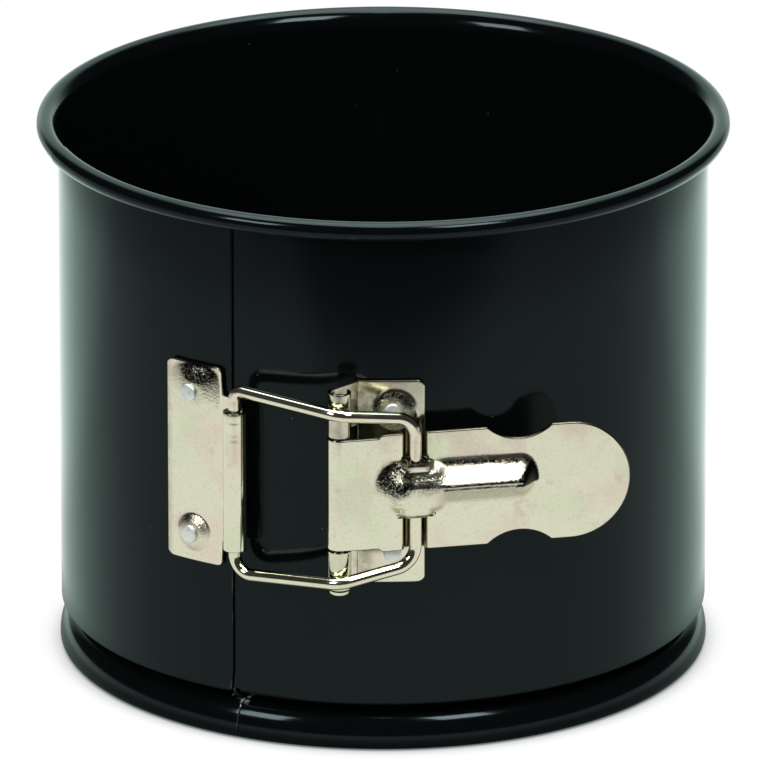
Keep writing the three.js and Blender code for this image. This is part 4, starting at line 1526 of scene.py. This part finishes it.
@dataclass
class Bail:
    """The bail: a wire loop, wide at the catch, bowed out past the hinge, narrow at the lever."""

    catch: Array
    pin: Array
    seat: Array
    radius: float = 1.55
    start: float = 19.25
    half_at_catch: float = 23.8
    drop_at_catch: float = 1.5
    half_at_hinge: float = 21.7
    half_at_lever: float = 18.7
    bow: float = 5.7
    upper_corner: float = 2.7
    lower_corner: float = 4.6
    seat_corner: float = 5.6
    bow_radius: float = 6.0

    def arm(self, sign: float, corner: float) -> list[tuple[Array, float]]:
        """One arm's corner points, from the catch to the lever, with the radius at each.

        Args:
            sign: 1 for the upper arm and -1 for the lower.
            corner: the radius at the catch.

        Returns:
            The points and radii.
        """
        bowed = self.pin + np.array([0.0, -self.bow])
        knots = [(self.catch, sign * self.start, 0.0),
                 (self.catch, sign * self.half_at_catch - self.drop_at_catch, corner),
                 (bowed, sign * self.half_at_hinge, self.bow_radius),
                 (self.seat, sign * self.half_at_lever, self.seat_corner)]
        return [(np.array([*point, LATCH_HEIGHT + z]), radius) for point, z, radius in knots]

    def path(self) -> Array:
        """The wire's middle line: straight runs whose corners are arcs.

        At a corner the arc's centre is on the bisector, and the arc turns between the two points where
        it touches the runs.

        Returns:
            Its points, from the upper end round to the lower one.
        """
        knots = self.arm(1.0, self.upper_corner) + self.arm(-1.0, self.lower_corner)[::-1]
        parts = [knots[0][0][None]]
        t = np.linspace(0.0, 1.0, 17)[:, None]
        for (last, _), (point, radius), (after, _) in zip(knots, knots[1:], knots[2:]):
            back = unit(last - point)
            ahead = unit(after - point)
            corner = math.acos(float(back @ ahead))
            trim = radius / math.tan(corner / 2)
            centre = point + unit(back + ahead) * radius / math.sin(corner / 2)
            first = point + trim * back - centre
            final = point + trim * ahead - centre
            sweep = math.pi - corner
            turning = np.sin((1.0 - t) * sweep) * first + np.sin(t * sweep) * final
            arc = centre + turning / math.sin(sweep)
            run = parts[-1][-1] + np.linspace(0.0, 1.0, 8)[1:-1, None] * (arc[0] - parts[-1][-1])
            parts += [run, arc]
        run = parts[-1][-1] + np.linspace(0.0, 1.0, 8)[1:, None] * (knots[-1][0] - parts[-1][-1])
        return np.concatenate(parts + [run])

    def build(self, finishes: Finishes) -> None:
        """Carries a circle along the wire's middle line.

        Args:
            finishes: the object's materials.
        """
        path = self.path()
        tangent = unit(np.gradient(path, axis=0))
        side = unit(np.cross(tangent, np.array([-0.2, -0.98, 0.0])))
        front = np.cross(side, tangent)
        angle = np.linspace(0.0, 2.0 * math.pi, 32, endpoint=False)[:, None]
        spokes = np.cos(angle) * front[:, None, :] + np.sin(angle) * side[:, None, :]
        shell = swept(path[:, None, :] + self.radius * spokes)
        make_piece("bail_wire", [shell], Body.BAIL, ["bail"], finishes.plating)


@dataclass
class Studio:
    """The plain pale floor, the soft light and the camera."""

    target: tuple[float, float, float] = (0.0002, 0.0, 0.0663)
    distance: float = 3.079
    elevation: float = rad(19.87)
    lens: float = 579.5
    floor_half: float = 6.0
    contact: float = 0.013
    far_front: Span = (-0.41, -0.295)
    under_foot: Span = (0.083, 0.108)
    behind_pan: Span = (0.06, 0.14)
    far_round: Span = (0.375, 0.42)
    strip_front: Span = (-0.43, -0.37)
    strip_side: Span = (0.35, 0.65)
    lamp_distance: float = 2.0
    lamp_size: float = 0.55

    def camera(self) -> None:
        """Sets the camera at the photograph's angle."""
        data = bpy.data.cameras.new("camera")
        data.lens = self.lens
        data.sensor_width = 36.0
        data.clip_end = 50.0
        camera = bpy.data.objects.new("camera", data)
        back = (0.0, -math.cos(self.elevation), math.sin(self.elevation))
        camera.location = tuple(t + self.distance * b for t, b in zip(self.target, back))
        camera.rotation_euler = (math.pi / 2 - self.elevation, 0.0, 0.0)
        bpy.context.scene.collection.objects.link(camera)
        bpy.context.scene.camera = camera

    def floor(self) -> None:
        """Lays a white floor, painted with shadow by the foot, dimmer far from the pan in reflections.
        """
        material, net = new_material("floor")
        camera, glossy = net.rays()
        x, y, _ = net.parts(net.place())
        # Painted contact shadow: the colour darkens with ambient occlusion close to the pan.
        sockets = {"Distance": self.contact}
        near = net.value("ShaderNodeAmbientOcclusion", {"samples": 16}, sockets, "AO")
        shade = net.step(near, 0.05, 0.9)
        colour = net.mix(shade, (0.14, 0.16, 0.165, 1.0), (1.0, 1.0, 1.0, 1.0))
        radius = net.math("SQRT", x * x + y * y)
        # In reflections: dimmer far in front, painted shade round the foot, lighter behind and dimmer
        # far round.
        far = 0.1 + 0.9 * net.step(y, *self.far_front)
        beside = 0.3 + 0.7 * net.step(radius, *self.under_foot)
        behind = 1.0 + 0.3 * net.step(y, *self.behind_pan)
        around = 1.0 - 0.45 * net.step(radius, *self.far_round)
        glow = camera * 1.02 + glossy * far * beside * (behind * around)
        shown = net.node("ShaderNodeEmission", {}, {"Color": colour, "Strength": glow})
        lit = net.node("ShaderNodeBsdfDiffuse", {}, {"Color": (0.8, 0.8, 0.8, 1.0)})
        use = net.clamp(camera * 0.97 + glossy)
        mixed = net.node("ShaderNodeMixShader", {}, {0: use, 1: lit.outputs[0], 2: shown.outputs[0]})
        net.node("ShaderNodeOutputMaterial", {}, {"Surface": mixed.outputs[0]})
        h = self.floor_half
        corners = [(x, y, -0.0001) for x, y in ((-h, -h), (h, -h), (h, h), (-h, h))]
        mesh = bpy.data.meshes.new("floor")
        mesh.from_pydata(corners, [], [(0, 1, 2, 3)])
        mesh.materials.append(material)
        floor = bpy.data.objects.new("floor", mesh)
        bpy.context.scene.collection.objects.link(floor)

    def world(self) -> None:
        """Sets a surround: white to the eye, and in reflections a strip from behind to overhead."""
        world = bpy.data.worlds.new("surround")
        bpy.context.scene.world = world
        world.use_nodes = True
        net = Net(world.node_tree)
        camera, glossy = net.rays()
        x, y, z = net.parts(net.node("ShaderNodeTexCoord").outputs["Generated"])
        aside = net.math("ABSOLUTE", x)
        front = y - 0.7 * aside
        strip = net.step(front, *self.strip_front) * (1.0 - net.step(aside, *self.strip_side))
        seen = 0.04 + strip * (1.0 + 2.0 * net.step(z, 0.4, 0.8) + 6.0 * net.step(z, 0.8, 0.88))
        strength = camera + glossy * seen + (1.0 - camera) * (1.0 - glossy) * 0.4
        sockets = {"Color": (1.0, 1.0, 1.0, 1.0), "Strength": strength}
        shown = net.node("ShaderNodeBackground", {}, sockets)
        net.node("ShaderNodeOutputWorld", {}, {"Surface": shown.outputs[0]})

    def lamp(self, name: str, azimuth: float, elevation: float, power: float) -> None:
        """Hangs a soft square lamp facing the pan.

        Args:
            name: its name.
            azimuth: its turn from the front, positive to the right.
            elevation: its angle above the floor.
            power: its power in watts.
        """
        data = bpy.data.lights.new(name, "AREA")
        data.size = self.lamp_size
        data.energy = power
        lamp = bpy.data.objects.new(name, data)
        flat = self.lamp_distance * math.cos(elevation)
        high = self.lamp_distance * math.sin(elevation)
        lamp.location = (flat * math.sin(azimuth), -flat * math.cos(azimuth), high)
        lamp.rotation_euler = (math.pi / 2 - elevation, 0.0, azimuth)
        bpy.context.scene.collection.objects.link(lamp)

    def build(self) -> None:
        """Sets up everything round the object."""
        self.camera()
        self.floor()
        self.world()
        self.lamp("lamp_left", rad(-46.0), rad(34.0), 15.0)
        self.lamp("lamp_right", rad(35.0), rad(53.0), 18.0)
        bpy.context.scene.view_settings.view_transform = "Standard"


def main() -> None:
    """Builds the studio, the finishes and each sub-assembly."""
    logging.basicConfig(level=logging.INFO, format="%(name)s: %(message)s")
    Studio().build()
    finishes = Finishes(CoatingFinish().make(), PlatingFinish().make(), RivetFinish().make())
    ring = Ring()
    ring.build(finishes.coating)
    Base().build(finishes.coating)
    catch = CatchPlate(ring)
    catch.build(finishes)
    bracket = HingeBracket(ring)
    bracket.build(finishes)
    lever = Lever(bracket.pin_axis())
    lever.build(finishes)
    Bail(catch.roll_centre(), bracket.pin_axis(), lever.seat_axis()).build(finishes)


if __name__ == "__main__":
    main()
